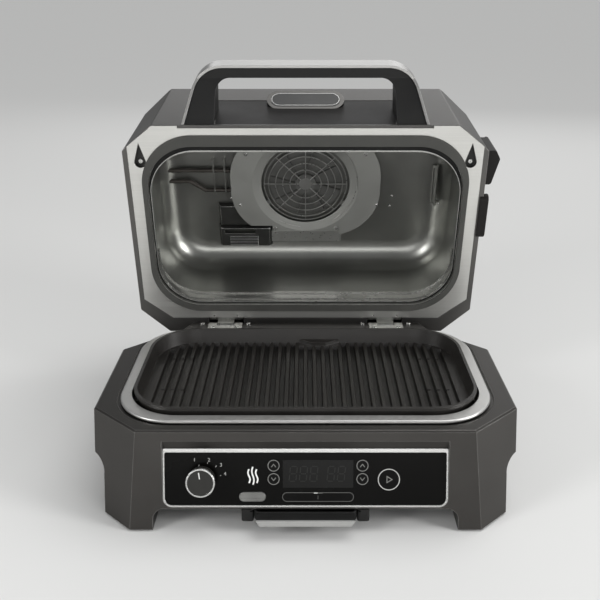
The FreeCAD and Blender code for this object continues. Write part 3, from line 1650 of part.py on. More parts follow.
def louvre_cover():
    """Stamped cover with three louvres and a window."""
    low = -louvre_stand
    span = (louvre_x0, louvre_x1, louvre_front, louvre_back, louvre_stand)
    cuts = [stamped_form(*span, stamping_wall)]
    cuts.append(box(louvre_x0 + 12, louvre_x1 - 34, louvre_front + 7, louvre_front + 17, low - 5, low + 5))
    middle = (louvre_x0 + louvre_x1) / 2 - 3
    x0, x1 = middle - louvre_half_width, middle + louvre_half_width
    blades = []
    for i in range(louvre_count):
        y = louvre_back - 11 - i * louvre_pitch
        cuts.append(box(x0, x1, y - 2, y + 1.5, low - 1, low + 2))
        blades.append(louvre(x0 - 1, x1 + 1, y, low))
    feet = []
    for x in (louvre_x0 + 6, louvre_x1 - 6):
        feet.append(cylinder(3.0, louvre_stand - stamping_wall / 2, x, louvre_front + 6.5,
                low + stamping_wall / 2))
    return stamped_form(*span, 0).cut(cuts).fuse(blades + feet)


def louvre_hood():
    """Lower stamping in front of the cover."""
    span = (louvre_x0 + 1, hood_x1, hood_front, louvre_front + hood_lap, hood_stand)
    back = box(-beyond_all, beyond_all, louvre_front - 0.5, beyond_all, -beyond_all, beyond_all)
    lug = box(louvre_x0 + 8, hood_x1 - 8, hood_front + 6, hood_front + 8,
            -hood_stand + stamping_wall / 2, 0)
    return stamped_form(*span, 0).cut([stamped_form(*span, stamping_wall), back]).fuse(lug)


def build_louvre_plate():
    """Louvred cover and the hood beside it, on the ceiling."""
    return on_ceiling(group([louvre_cover(), louvre_hood()]))


def probe_slot():
    """Bar with a long slot across the round between the ceiling and the right wall."""
    front, back = probe_slot_front_y, probe_slot_back_y
    bar = box(-probe_slot_width, probe_slot_width, front, back, -1.5, 1.5)
    half = probe_slot_width / 2
    slot = box(-half, half, front + 5, back - 5, -5, 1)
    posts = [cylinder(2.5, 16, 0, y, 0) for y in (front + 3, back - 3)]
    shape = join([bar] + posts).cut(slot)
    shape.rotate(V(0, 0, 0), V(0, 1, 0), 45)
    shape.translate(V(probe_slot_x, 0, probe_slot_z))
    return shape.common(liner_form(0, lid_rim_z))


def build_ceiling_brackets():
    """Straps of the lid's element and the slotted bar at the right of the ceiling."""
    return group(heater_straps() + [probe_slot()])


def build_liner_lip():
    """Lip round the mouth of the liner, and the beaded strip at its back and back corners."""
    low = lip_low_z
    high = low + lip_ring_thickness
    hollow = rounded_plate(lip_half_width, lip_front_y, lip_back_y, lip_radius, low - 1, high + 1)
    ring = liner_opening(lip_band_gap, low, high).cut(hollow)
    inner = lip_band_gap + lip_band_wall
    band = liner_opening(lip_band_gap, low, lip_band_high_z)
    beads = []
    for z in (lip_bead_z, lip_band_high_z - lip_bead_height):
        hollow = liner_opening(inner + lip_bead, z - 1, z + lip_bead_height + 1)
        beads.append(liner_opening(lip_band_gap, z, z + lip_bead_height).cut(hollow))
    strip = band.cut(liner_opening(inner, low - 1, lip_band_high_z + 1)).fuse(beads)
    front = box(-beyond_all, beyond_all, -beyond_all, lip_band_front_y, low - 5, lip_band_high_z + 5)
    holes = []
    for x in (-lip_hole_pitch, 0, lip_hole_pitch):
        holes.append(cylinder(lip_hole_radius, 30, x, liner_back_y - 20, lip_hole_z, (0, 1, 0)))
    return ring.fuse(strip.cut([front] + holes))


# Smoke box and probe socket on the right side of the lid


def flap_axis():
    """X and Z of the flap's hinge, close to the lid's side wall."""
    return flap_pivot_x, smoke_box_high_z + flap_gap + flap_thickness


def flap_span():
    return smoke_box_front_y + 10.0, smoke_box_back_y - 10.0


def build_smoke_box():
    """Hollow pot through the side of the lid, open upwards, with ears for the flap."""
    x, z = flap_axis()
    low, high = smoke_box_low_z, smoke_box_high_z
    front, back = flap_span()
    ears = []
    for y0, y1 in ((front - 5.0, front - flap_gap), (back + flap_gap, back + 5.0)):
        ear = box(x - flap_barrel_radius, x + flap_barrel_radius, y0, y1, high - 1, z + flap_barrel_radius)
        ears.append(ear.cut(cylinder(flap_pin_radius + pin_clearance, 20, x, y0 - 5, z, (0, 1, 0))))
    hollow = smoke_box_body(smoke_box_wall, low + smoke_box_wall, high - smoke_box_wall)
    mouth = prism_z(smoke_box_plan(smoke_rim_width), high - 10, high + 1).cut(box(0,
            x + flap_barrel_radius, -beyond_all, beyond_all, 0, beyond_all))
    return smoke_box_body(0, low, high).cut([hollow, mouth]).fuse(ears)


def build_smoke_flap():
    """Flap over the pot with a tab to lift it by."""
    x, z = flap_axis()
    front, back = flap_span()
    low = smoke_box_high_z + flap_gap
    plate = smoke_box_body(0, low, low + flap_thickness)
    corners = [box(0, x + 2 * flap_barrel_radius, -beyond_all, front, 0, beyond_all), box(0,
            x + 2 * flap_barrel_radius, back, beyond_all, 0, beyond_all)]
    plate = plate.cut(corners + [box(0, x, -beyond_all, beyond_all, 0, beyond_all)])
    start = smoke_box_nose_y + 1
    root = smoke_box_out - flap_tab_back
    top = low + flap_thickness
    tab = box(root - 2, root, start, start + flap_tab_length, top - 1, top + flap_tab_height)
    barrel = cylinder(flap_barrel_radius, back - front, x, front, z, (0, 1, 0))
    pin = cylinder(flap_pin_radius, back - front + 8, x, front - 4, z, (0, 1, 0))
    return join([plate, tab, barrel, pin])


def build_pellet_cup():
    """Open cup for wood pellets inside the smoke box."""
    outer_skin = smoke_box_wall + pellet_cup_gap
    z0 = smoke_box_low_z + smoke_box_wall + pellet_cup_stand
    beyond = box(0, pellet_cup_inner, -beyond_all, beyond_all, 0, beyond_all)
    outside = smoke_box_body(outer_skin, z0, z0 + pellet_cup_height).cut(beyond)
    inside = smoke_box_body(outer_skin + pellet_cup_wall, z0 + pellet_cup_wall, z0 + pellet_cup_height + 5)
    inside = inside.cut(box(0, pellet_cup_inner + pellet_cup_wall, -beyond_all, beyond_all, 0, beyond_all))
    rod_hole = cylinder(igniter_radius, 20, pellet_cup_inner - 5, igniter_y(),
            smoke_box_low_z + igniter_rise, (1, 0, 0))
    middle = (smoke_box_front_y + smoke_box_back_y) / 2
    foot = box(pellet_cup_inner + 6, smoke_box_out - 22, middle - 12, middle + 12,
            z0 - pellet_cup_stand, z0)
    return outside.cut([inside, rod_hole]).fuse(foot)


def igniter_y():
    return (smoke_box_front_y + smoke_box_back_y) / 2


def build_igniter():
    """Heating rod in the bottom of the cup."""
    return cylinder(igniter_radius, igniter_length, igniter_inner, igniter_y(),
            smoke_box_low_z + igniter_rise, (1, 0, 0))


def build_probe_socket():
    """Pill-shaped moulding round the probe socket behind the smoke box."""
    block = box(lid_rim_side_half - 6, bump_out, bump_front_y, bump_back_y, bump_low_z, bump_high_z)
    ends = [e for e in block.Edges if abs(e.tangentAt(0).x) > 0.9]
    block = block.makeFillet((bump_high_z - bump_low_z) / 2 - 0.01, ends)
    rim = [e for e in block.Edges if abs(e.CenterOfMass.x - bump_out) < 0.01]
    block = block.makeFillet(2.0, rim)
    middle = (bump_low_z + bump_high_z) / 2
    sockets = []
    for y in (bump_front_y + 22, bump_back_y - 22):
        sockets.append(cylinder(3.0, 20, bump_out - 9, y, middle, (1, 0, 0)))
    return block.cut(sockets).cut(lid_form(0, lid_rim_z))


# Fasteners


def screw(x, y, z, length, up=1):
    """Pan-head screw whose head stands on z; up = -1 for one driven from below."""
    head = cylinder(screw_head_radius, screw_head_height, x, y, z, (0, 0, up))
    rim = [e for e in head.Edges if abs(e.CenterOfMass.z - z - up * screw_head_height) < 0.01]
    head = head.makeFillet(1.0, rim)
    socket = cylinder(1.6, 1.5, x, y, z + up * (screw_head_height - 1.5), (0, 0, up))
    shank = cylinder(screw_shank_radius, length, x, y, z, (0, 0, -up))
    return head.cut(socket).fuse(shank)


def shelf_screw_places():
    return [(side * (hinge_x + off), shelf_screw_y) for side in (-1, 1) for off in (-shelf_screw_offset,
            shelf_screw_offset)]


def base_leaf_screw_places():
    y = pivot_y - hinge_reach - base_leaf_reach / 2
    return [(side * hinge_x + off, y) for side in (-1, 1) for off in (-hinge_screw_x, hinge_screw_x)]


def lid_leaf_screw_places():
    y = lid_leaf_front_y + 5.5
    return [(side * hinge_x + off, y) for side in (-1, 1) for off in (-hinge_screw_x, hinge_screw_x)]


def screw_holes(places, z):
    return [cylinder(screw_shank_radius, 30, x, y, z - 15) for x, y in places]


def build_base_screws():
    """Screws beside the hinges and through the hinge leaves."""
    leaf_top = deck_height + leaf_thickness
    screws = [screw(x, y, deck_height, 8) for x, y in shelf_screw_places()]
    return group(screws + [screw(x, y, leaf_top, 8) for x, y in base_leaf_screw_places()])


def build_lid_screws():
    """Screws of the lid's hinge leaves, of the cups and of the fan shroud."""
    leaf_top = lid_rim_z + frame_thickness + leaf_thickness
    screws = [screw(x, y, leaf_top, leaf_top - lid_rim_z) for x, y in lid_leaf_screw_places()]
    cup_floor = lid_rim_z + cup_depth - cup_wall
    screws += [screw(x, cup_y, cup_floor, 8, -1) for x in (-cup_x, cup_x)]
    low = -shroud_stand - shroud_thickness
    shroud_screws = [screw(x, y, low, shroud_stand, -1) for x, y in shroud_screw_places()]
    return group(screws + [on_ceiling(s) for s in shroud_screws])


def drilled(shape, places, z):
    return shape.cut(screw_holes(places, z))


def base_parts():
    """Everything that stands still."""
    housing = drilled(build_base_housing(), shelf_screw_places() + base_leaf_screw_places(), deck_height)
    return {
        "base_housing": housing,
        "base_floor": build_base_floor(),
        "rubber_feet": build_rubber_feet(),
        "cooking_well": build_cooking_well(),
        "well_rim": build_well_rim(),
        "well_supports": build_well_supports(),
        "base_heater": build_base_heater(),
        "drain_spout": build_drain_spout(),
        "tray_rails": build_tray_rails(),
        "control_bezel": build_control_bezel(),
        "control_panel": build_control_panel(),
        "display_window": build_display_window(),
        "display_module": build_display_module(),
        "control_board": build_control_board(),
        "key_switches": build_key_switches(),
        "dial_encoder": build_dial_encoder(),
        "power_board": build_power_board(),
        "base_hinge_leaves": build_base_hinge_leaves(),
        "hinge_pins": build_hinge_pins(),
        "base_screws": build_base_screws(),
        "rear_vent": build_rear_vent(),
        "cord_gland": build_cord_gland(),
    }


def moving_parts():
    """Parts that move on the base."""
    parts = {
        "grill_plate": build_grill_plate(),
        "grease_tray": build_grease_tray(),
        "tray_handle": build_tray_handle(),
        "dial_knob": build_dial_knob(),
        "dial_ring": build_dial_ring(),
        "dial_pointer": build_dial_pointer(),
        "smoke_key": build_smoke_key(),
        "mode_rocker": build_mode_rocker(),
    }
    for name, (x, v, radius) in key_places().items():
        parts[name] = build_round_key(x, v, radius)
    return parts


def lid_parts():
    """The lid as drawn shut."""
    shell = build_lid_shell().cut(smoke_box_body(0, smoke_box_low_z, smoke_box_high_z))
    frame = drilled(build_lid_frame(), lid_leaf_screw_places(), lid_rim_z)
    leaves = drilled(build_lid_hinge_leaves(), lid_leaf_screw_places(), lid_rim_z)
    return {
        "lid_shell": shell,
        "lid_inset_panel": build_lid_inset_panel(),
        "badge_plate": build_badge_plate(),
        "handle_grip": build_handle_grip(),
        "handle_strap": build_handle_strap(),
        "lid_frame": frame,
        "screw_cups": build_screw_cups(),
        "lid_seal": build_lid_seal(),
        "lid_liner": build_lid_liner(),
        "fan_shroud": build_fan_shroud(),
        "fan_guard": build_fan_guard(),
        "fan_impeller": build_fan_impeller(),
        "fan_motor": build_fan_motor(),
        "motor_bracket": build_motor_bracket(),
        "lid_heater": build_lid_heater(),
        "ceiling_brackets": build_ceiling_brackets(),
        "louvre_plate": build_louvre_plate(),
        "liner_lip": build_liner_lip(),
        "smoke_box": build_smoke_box(),
        "smoke_flap": build_smoke_flap(),
        "pellet_cup": build_pellet_cup(),
        "igniter": build_igniter(),
        "probe_socket": build_probe_socket(),
        "lid_hinge_leaves": leaves,
        "lid_screws": build_lid_screws(),
    }


def opened(shape):
    """Swings a part of the shut lid to its open position."""
    swung = shape.copy()
    swung.rotate(V(0, pivot_y, pivot_z), V(1, 0, 0), -open_angle)
    return swung


os.makedirs("parts", exist_ok=True)
nodes = base_parts()
nodes.update(moving_parts())
for name, shape in lid_parts().items():
    nodes[name] = opened(shape)
for name, shape in nodes.items():
    shape.translate(V(0, -origin_y, 0))
    shape.exportStep("parts/" + name + ".step")
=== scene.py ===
import json
import math
import bmesh
import bpy
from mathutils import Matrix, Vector


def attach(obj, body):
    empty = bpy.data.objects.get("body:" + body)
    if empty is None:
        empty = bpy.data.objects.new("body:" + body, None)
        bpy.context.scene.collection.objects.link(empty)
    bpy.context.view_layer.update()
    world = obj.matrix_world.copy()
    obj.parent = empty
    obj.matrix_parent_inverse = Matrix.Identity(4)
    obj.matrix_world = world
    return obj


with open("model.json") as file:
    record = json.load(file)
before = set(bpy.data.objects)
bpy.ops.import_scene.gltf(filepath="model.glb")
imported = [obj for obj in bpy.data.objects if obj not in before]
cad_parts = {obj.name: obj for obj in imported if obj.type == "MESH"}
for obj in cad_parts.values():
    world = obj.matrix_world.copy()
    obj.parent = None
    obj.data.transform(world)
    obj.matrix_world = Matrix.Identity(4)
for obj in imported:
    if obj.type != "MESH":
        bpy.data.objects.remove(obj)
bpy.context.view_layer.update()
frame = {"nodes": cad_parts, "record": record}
nodes = frame["nodes"]
scene = bpy.context.scene
mm = 0.001

# The camera stands at the height and tilt of the photograph.
cameraLook = {
    "place": (0.0, -1.2331, 0.7443),
    "tilt": 22.12,  # degrees below level
    "focal": 46.8,
    "sensor": 36.0,
    "shift": (-5.5 / 600, 0.0),  # the grill sits a little right of centre
    "far": 200.0,
}


def makeCamera(look):
    data = bpy.data.cameras.new("grillCamera")
    data.sensor_width = look["sensor"]
    data.lens = look["focal"]
    data.shift_x, data.shift_y = look["shift"]
    data.clip_end = look["far"]
    camera = bpy.data.objects.new("grillCamera", data)
    camera.location = look["place"]
    camera.rotation_euler = (math.radians(90 - look["tilt"]), 0, 0)
    scene.collection.objects.link(camera)
    scene.camera = camera


makeCamera(cameraLook)
scene.view_settings.view_transform = "Standard"
print("camera placed")

studio = {
    "worldColor": (0.86, 0.87, 0.88),
    "worldStrength": 0.26,
    # softness, height and turn in degrees
    "sun": {"strength": 1.5, "softness": 50.0, "height": 66.0, "turn": 125.0, "distance": 4.0},
    "lamps": [
        # name, place, aim, width, height, watts
        ("lowFrontLamp", (0.0, -2.6, 0.5), (0.0, 0.0, 0.3), 1.8, 0.5, 10),
        ("rightLamp", (2.5, -1.1, 1.0), (0.0, 0.05, 0.25), 0.7, 1.2, 46),
        ("leftLamp", (-2.2, -1.5, 1.3), (0.0, 0.1, 0.4), 0.7, 1.2, 30),
        ("rearLamp", (0.6, 3.2, 1.7), (0.0, 0.0, 0.2), 3.6, 0.9, 14),
    ],
    "floor": {"size": 90.0, "color": (0.72, 0.72, 0.71), "rough": 0.95, "specular": 0.1},
}


def aimAlong(lamp, direction):
    lamp.rotation_euler = Vector(direction).to_track_quat("-Z", "Y").to_euler()


def addLamp(name, place, aim, width, height, watts):
    data = bpy.data.lights.new(name, "AREA")
    data.shape = "RECTANGLE"
    data.size, data.size_y = width, height
    data.energy = watts
    lamp = bpy.data.objects.new(name, data)
    lamp.location = place
    aimAlong(lamp, Vector(aim) - Vector(place))
    scene.collection.objects.link(lamp)


def addSun(look):
    data = bpy.data.lights.new("softSun", "SUN")
    data.energy = look["strength"]
    data.angle = math.radians(look["softness"])
    sun = bpy.data.objects.new("softSun", data)
    height, turn = math.radians(look["height"]), math.radians(look["turn"])
    flat = math.cos(height)
    away = Vector((math.sin(turn) * flat, -math.cos(turn) * flat, math.sin(height)))
    sun.location = away * look["distance"]
    aimAlong(sun, -away)
    scene.collection.objects.link(sun)


def makeWorld(look):
    world = bpy.data.worlds.new("studioWorld")
    scene.world = world
    world.use_nodes = True
    background = world.node_tree.nodes["Background"]
    background.inputs["Color"].default_value = (*look["worldColor"], 1)
    background.inputs["Strength"].default_value = look["worldStrength"]


def makeFloor(look):
    half = look["size"] / 2
    mesh = bpy.data.meshes.new("studioFloor")
    corners = [(-half, -half, 0), (half, -half, 0), (half, half, 0), (-half, half, 0)]
    mesh.from_pydata(corners, [], [(0, 1, 2, 3)])
    floor = bpy.data.objects.new("studioFloor", mesh)
    scene.collection.objects.link(floor)
    material = bpy.data.materials.new("floorPaper")
    material.use_nodes = True
    shader = material.node_tree.nodes["Principled BSDF"]
    shader.inputs["Base Color"].default_value = (*look["color"], 1)
    shader.inputs["Roughness"].default_value = look["rough"]
    shader.inputs["Specular IOR Level"].default_value = look["specular"]
    mesh.materials.append(material)


makeWorld(studio)
makeFloor(studio["floor"])
addSun(studio["sun"])
for lampRow in studio["lamps"]:
    addLamp(*lampRow)
print("studio lit")


def newGroup(name, inputs, outputs):
    group = bpy.data.node_groups.new(name, "ShaderNodeTree")
    for socketName, kind, value in inputs:
        socket = group.interface.new_socket(socketName, in_out="INPUT", socket_type=kind)
        socket.default_value = value
    for socketName, kind in outputs:
        group.interface.new_socket(socketName, in_out="OUTPUT", socket_type=kind)
    start = group.nodes.new("NodeGroupInput")
    end = group.nodes.new("NodeGroupOutput")
    return group, start, end


def addMath(tree, operation, first, second):
    node = tree.nodes.new("ShaderNodeMath")
    node.operation = operation
    for socket, value in zip(node.inputs, (first, second)):
        if isinstance(value, (int, float)):
            socket.default_value = value
        else:
            tree.links.new(value, socket)
    return node.outputs[0]


def addNoise(tree, vector, scale, detail, roughness):
    node = tree.nodes.new("ShaderNodeTexNoise")
    node.inputs["Detail"].default_value = detail
    node.inputs["Roughness"].default_value = roughness
    tree.links.new(vector, node.inputs["Vector"])
    if isinstance(scale, (int, float)):
        node.inputs["Scale"].default_value = scale
    else:
        tree.links.new(scale, node.inputs["Scale"])
    return node.outputs["Fac"]


floatKind = "NodeSocketFloat"
vectorKind = "NodeSocketVector"
bevelSamples = 4
noises = {
    # pairs are detail and roughness
    "grain": (3.0, 0.6), "grainPatch": (4.0, 0.55),
    "brush": (5.0, 0.7), "brushLine": (3.0, 0.6), "brushPatch": (3.0, 0.5),
    "brushScale": 1.0, "lineScale": 0.25,
}


def makeGrainGroup():
    inputs = [("Vector", vectorKind, (0, 0, 0)), ("Scale", floatKind, 900.0),
              ("Patch Scale", floatKind, 14.0)]
    outputs = [("Height", floatKind), ("Patch", floatKind)]
    group, start, end = newGroup("moulded grain", inputs, outputs)
    place = start.outputs["Vector"]
    fine = addNoise(group, place, start.outputs["Scale"], *noises["grain"])
    patch = addNoise(group, place, start.outputs["Patch Scale"], *noises["grainPatch"])
    group.links.new(fine, end.inputs["Height"])
    group.links.new(patch, end.inputs["Patch"])
    return group


def makeBrushedGroup():
    inputs = [("Vector", vectorKind, (0, 0, 0)), ("Across", vectorKind, (1, 1, 1)),
              ("Patch Scale", floatKind, 9.0)]
    outputs = [("Height", floatKind), ("Line", floatKind), ("Patch", floatKind)]
    group, start, end = newGroup("brushed lines", inputs, outputs)
    stretch = group.nodes.new("ShaderNodeVectorMath")
    stretch.operation = "MULTIPLY"
    place = start.outputs["Vector"]
    group.links.new(place, stretch.inputs[0])
    group.links.new(start.outputs["Across"], stretch.inputs[1])
    stretched = stretch.outputs[0]
    fine = addNoise(group, stretched, noises["brushScale"], *noises["brush"])
    line = addNoise(group, stretched, noises["lineScale"], *noises["brushLine"])
    patch = addNoise(group, place, start.outputs["Patch Scale"], *noises["brushPatch"])
    group.links.new(fine, end.inputs["Height"])
    group.links.new(line, end.inputs["Line"])
    group.links.new(patch, end.inputs["Patch"])
    return group


# A bevel mask of every edge, used to paint a highlight along the edges.
def makeEdgeHighlightGroup():
    inputs = [("Radius", floatKind, 0.002), ("Contrast", floatKind, 6.0)]
    group, start, end = newGroup("painted edge highlight", inputs, [("Mask", floatKind)])
    bevel = group.nodes.new("ShaderNodeBevel")
    bevel.samples = bevelSamples
    group.links.new(start.outputs["Radius"], bevel.inputs["Radius"])
    geometry = group.nodes.new("ShaderNodeNewGeometry")
    dot = group.nodes.new("ShaderNodeVectorMath")
    dot.operation = "DOT_PRODUCT"
    group.links.new(bevel.outputs["Normal"], dot.inputs[0])
    group.links.new(geometry.outputs["Normal"], dot.inputs[1])
    away = addMath(group, "SUBTRACT", 1.0, dot.outputs["Value"])
    mask = addMath(group, "MULTIPLY", away, start.outputs["Contrast"])
    clamp = group.nodes.new("ShaderNodeClamp")
    group.links.new(mask, clamp.inputs["Value"])
    group.links.new(clamp.outputs[0], end.inputs["Mask"])
    return group


grainGroup = makeGrainGroup()
brushedGroup = makeBrushedGroup()
edgeHighlightGroup = makeEdgeHighlightGroup()
print("shared effects built")

surface = {
    "noiseLow": 0.25, "noiseHigh": 0.75,  # nearly all of a noise lies between these
    "specular": 0.5, "coatRough": 0.2, "lineShare": 0.5,
}


def startMaterial(name):
    material = bpy.data.materials.new(name)
    material.use_nodes = True
    tree = material.node_tree
    tree.nodes.clear()
    shader = tree.nodes.new("ShaderNodeBsdfPrincipled")
    output = tree.nodes.new("ShaderNodeOutputMaterial")
    tree.links.new(shader.outputs["BSDF"], output.inputs["Surface"])
    place = tree.nodes.new("ShaderNodeTexCoord")
    return material, tree, shader, place.outputs["Object"]


def placeGroup(tree, group, values, links):
    node = tree.nodes.new("ShaderNodeGroup")
    node.node_tree = group
    for key, value in values.items():
        node.inputs[key].default_value = value
    for key, socket in links.items():
        tree.links.new(socket, node.inputs[key])
    return node


def mixColors(tree, factor, first, second):
    mix = tree.nodes.new("ShaderNodeMix")
    mix.data_type = "RGBA"
    tree.links.new(factor, mix.inputs["Factor"])
    for socket, value in ((mix.inputs["A"], first), (mix.inputs["B"], second)):
        if isinstance(value, tuple):
            socket.default_value = (*value, 1)
        else:
            tree.links.new(value, socket)
    return mix.outputs["Result"]


def spread(tree, value, low, high):  # a noise carried to the range from low to high
    ramp = tree.nodes.new("ShaderNodeMapRange")
    ramp.inputs["From Min"].default_value = surface["noiseLow"]
    ramp.inputs["From Max"].default_value = surface["noiseHigh"]
    ramp.inputs["To Min"].default_value = low
    ramp.inputs["To Max"].default_value = high
    tree.links.new(value, ramp.inputs["Value"])
    return ramp.outputs["Result"]


def roundedNormal(tree, radius):
    bevel = tree.nodes.new("ShaderNodeBevel")
    bevel.samples = bevelSamples
    bevel.inputs["Radius"].default_value = radius
    return bevel.outputs["Normal"]


def addBump(tree, shader, height, depth, radius):
    bump = tree.nodes.new("ShaderNodeBump")
    bump.inputs["Strength"].default_value = 1.0
    bump.inputs["Distance"].default_value = depth
    tree.links.new(height, bump.inputs["Height"])
    if radius > 0:
        tree.links.new(roundedNormal(tree, radius), bump.inputs["Normal"])
    tree.links.new(bump.outputs["Normal"], shader.inputs["Normal"])


def mouldedSurface(name, look):  # plastics, coatings, print and dull metal
    material, tree, shader, place = startMaterial(name)
    values = {"Scale": look["grain"], "Patch Scale": look["patch"]}
    grain = placeGroup(tree, grainGroup, values, {"Vector": place})
    patch = grain.outputs["Patch"]
    color = mixColors(tree, spread(tree, patch, 0, 1), look["dark"], look["light"])
    # painted highlight: the edge colour is mixed in along every edge by the bevel mask
    edge = placeGroup(tree, edgeHighlightGroup, {"Radius": look["edge"], "Contrast": look["edgeHighlightStrength"]}, {})
    color = mixColors(tree, edge.outputs["Mask"], color, look["edgeHighlight"])
    tree.links.new(color, shader.inputs["Base Color"])
    tree.links.new(spread(tree, patch, *look["rough"]), shader.inputs["Roughness"])
    shader.inputs["Metallic"].default_value = look["metal"]
    shader.inputs["Specular IOR Level"].default_value = look.get("specular", surface["specular"])
    shader.inputs["Coat Weight"].default_value = look["coat"]
    shader.inputs["Coat Roughness"].default_value = surface["coatRough"]
    addBump(tree, shader, grain.outputs["Height"], look["depth"], look["edge"])
    return material


def brushedSurface(name, look):  # brushed and drawn metal
    material, tree, shader, place = startMaterial(name)
    values = {"Across": look["across"], "Patch Scale": look["patch"]}
    lines = placeGroup(tree, brushedGroup, values, {"Vector": place})
    patch, line = lines.outputs["Patch"], lines.outputs["Line"]
    color = mixColors(tree, spread(tree, patch, 0, 1), look["dark"], look["light"])
    color = mixColors(tree, spread(tree, line, 0, surface["lineShare"]), color, look["line"])
    tree.links.new(color, shader.inputs["Base Color"])
    tree.links.new(spread(tree, line, *look["rough"]), shader.inputs["Roughness"])
    shader.inputs["Metallic"].default_value = look["metal"]
    addBump(tree, shader, lines.outputs["Height"], look["depth"], look["edge"])
    return material
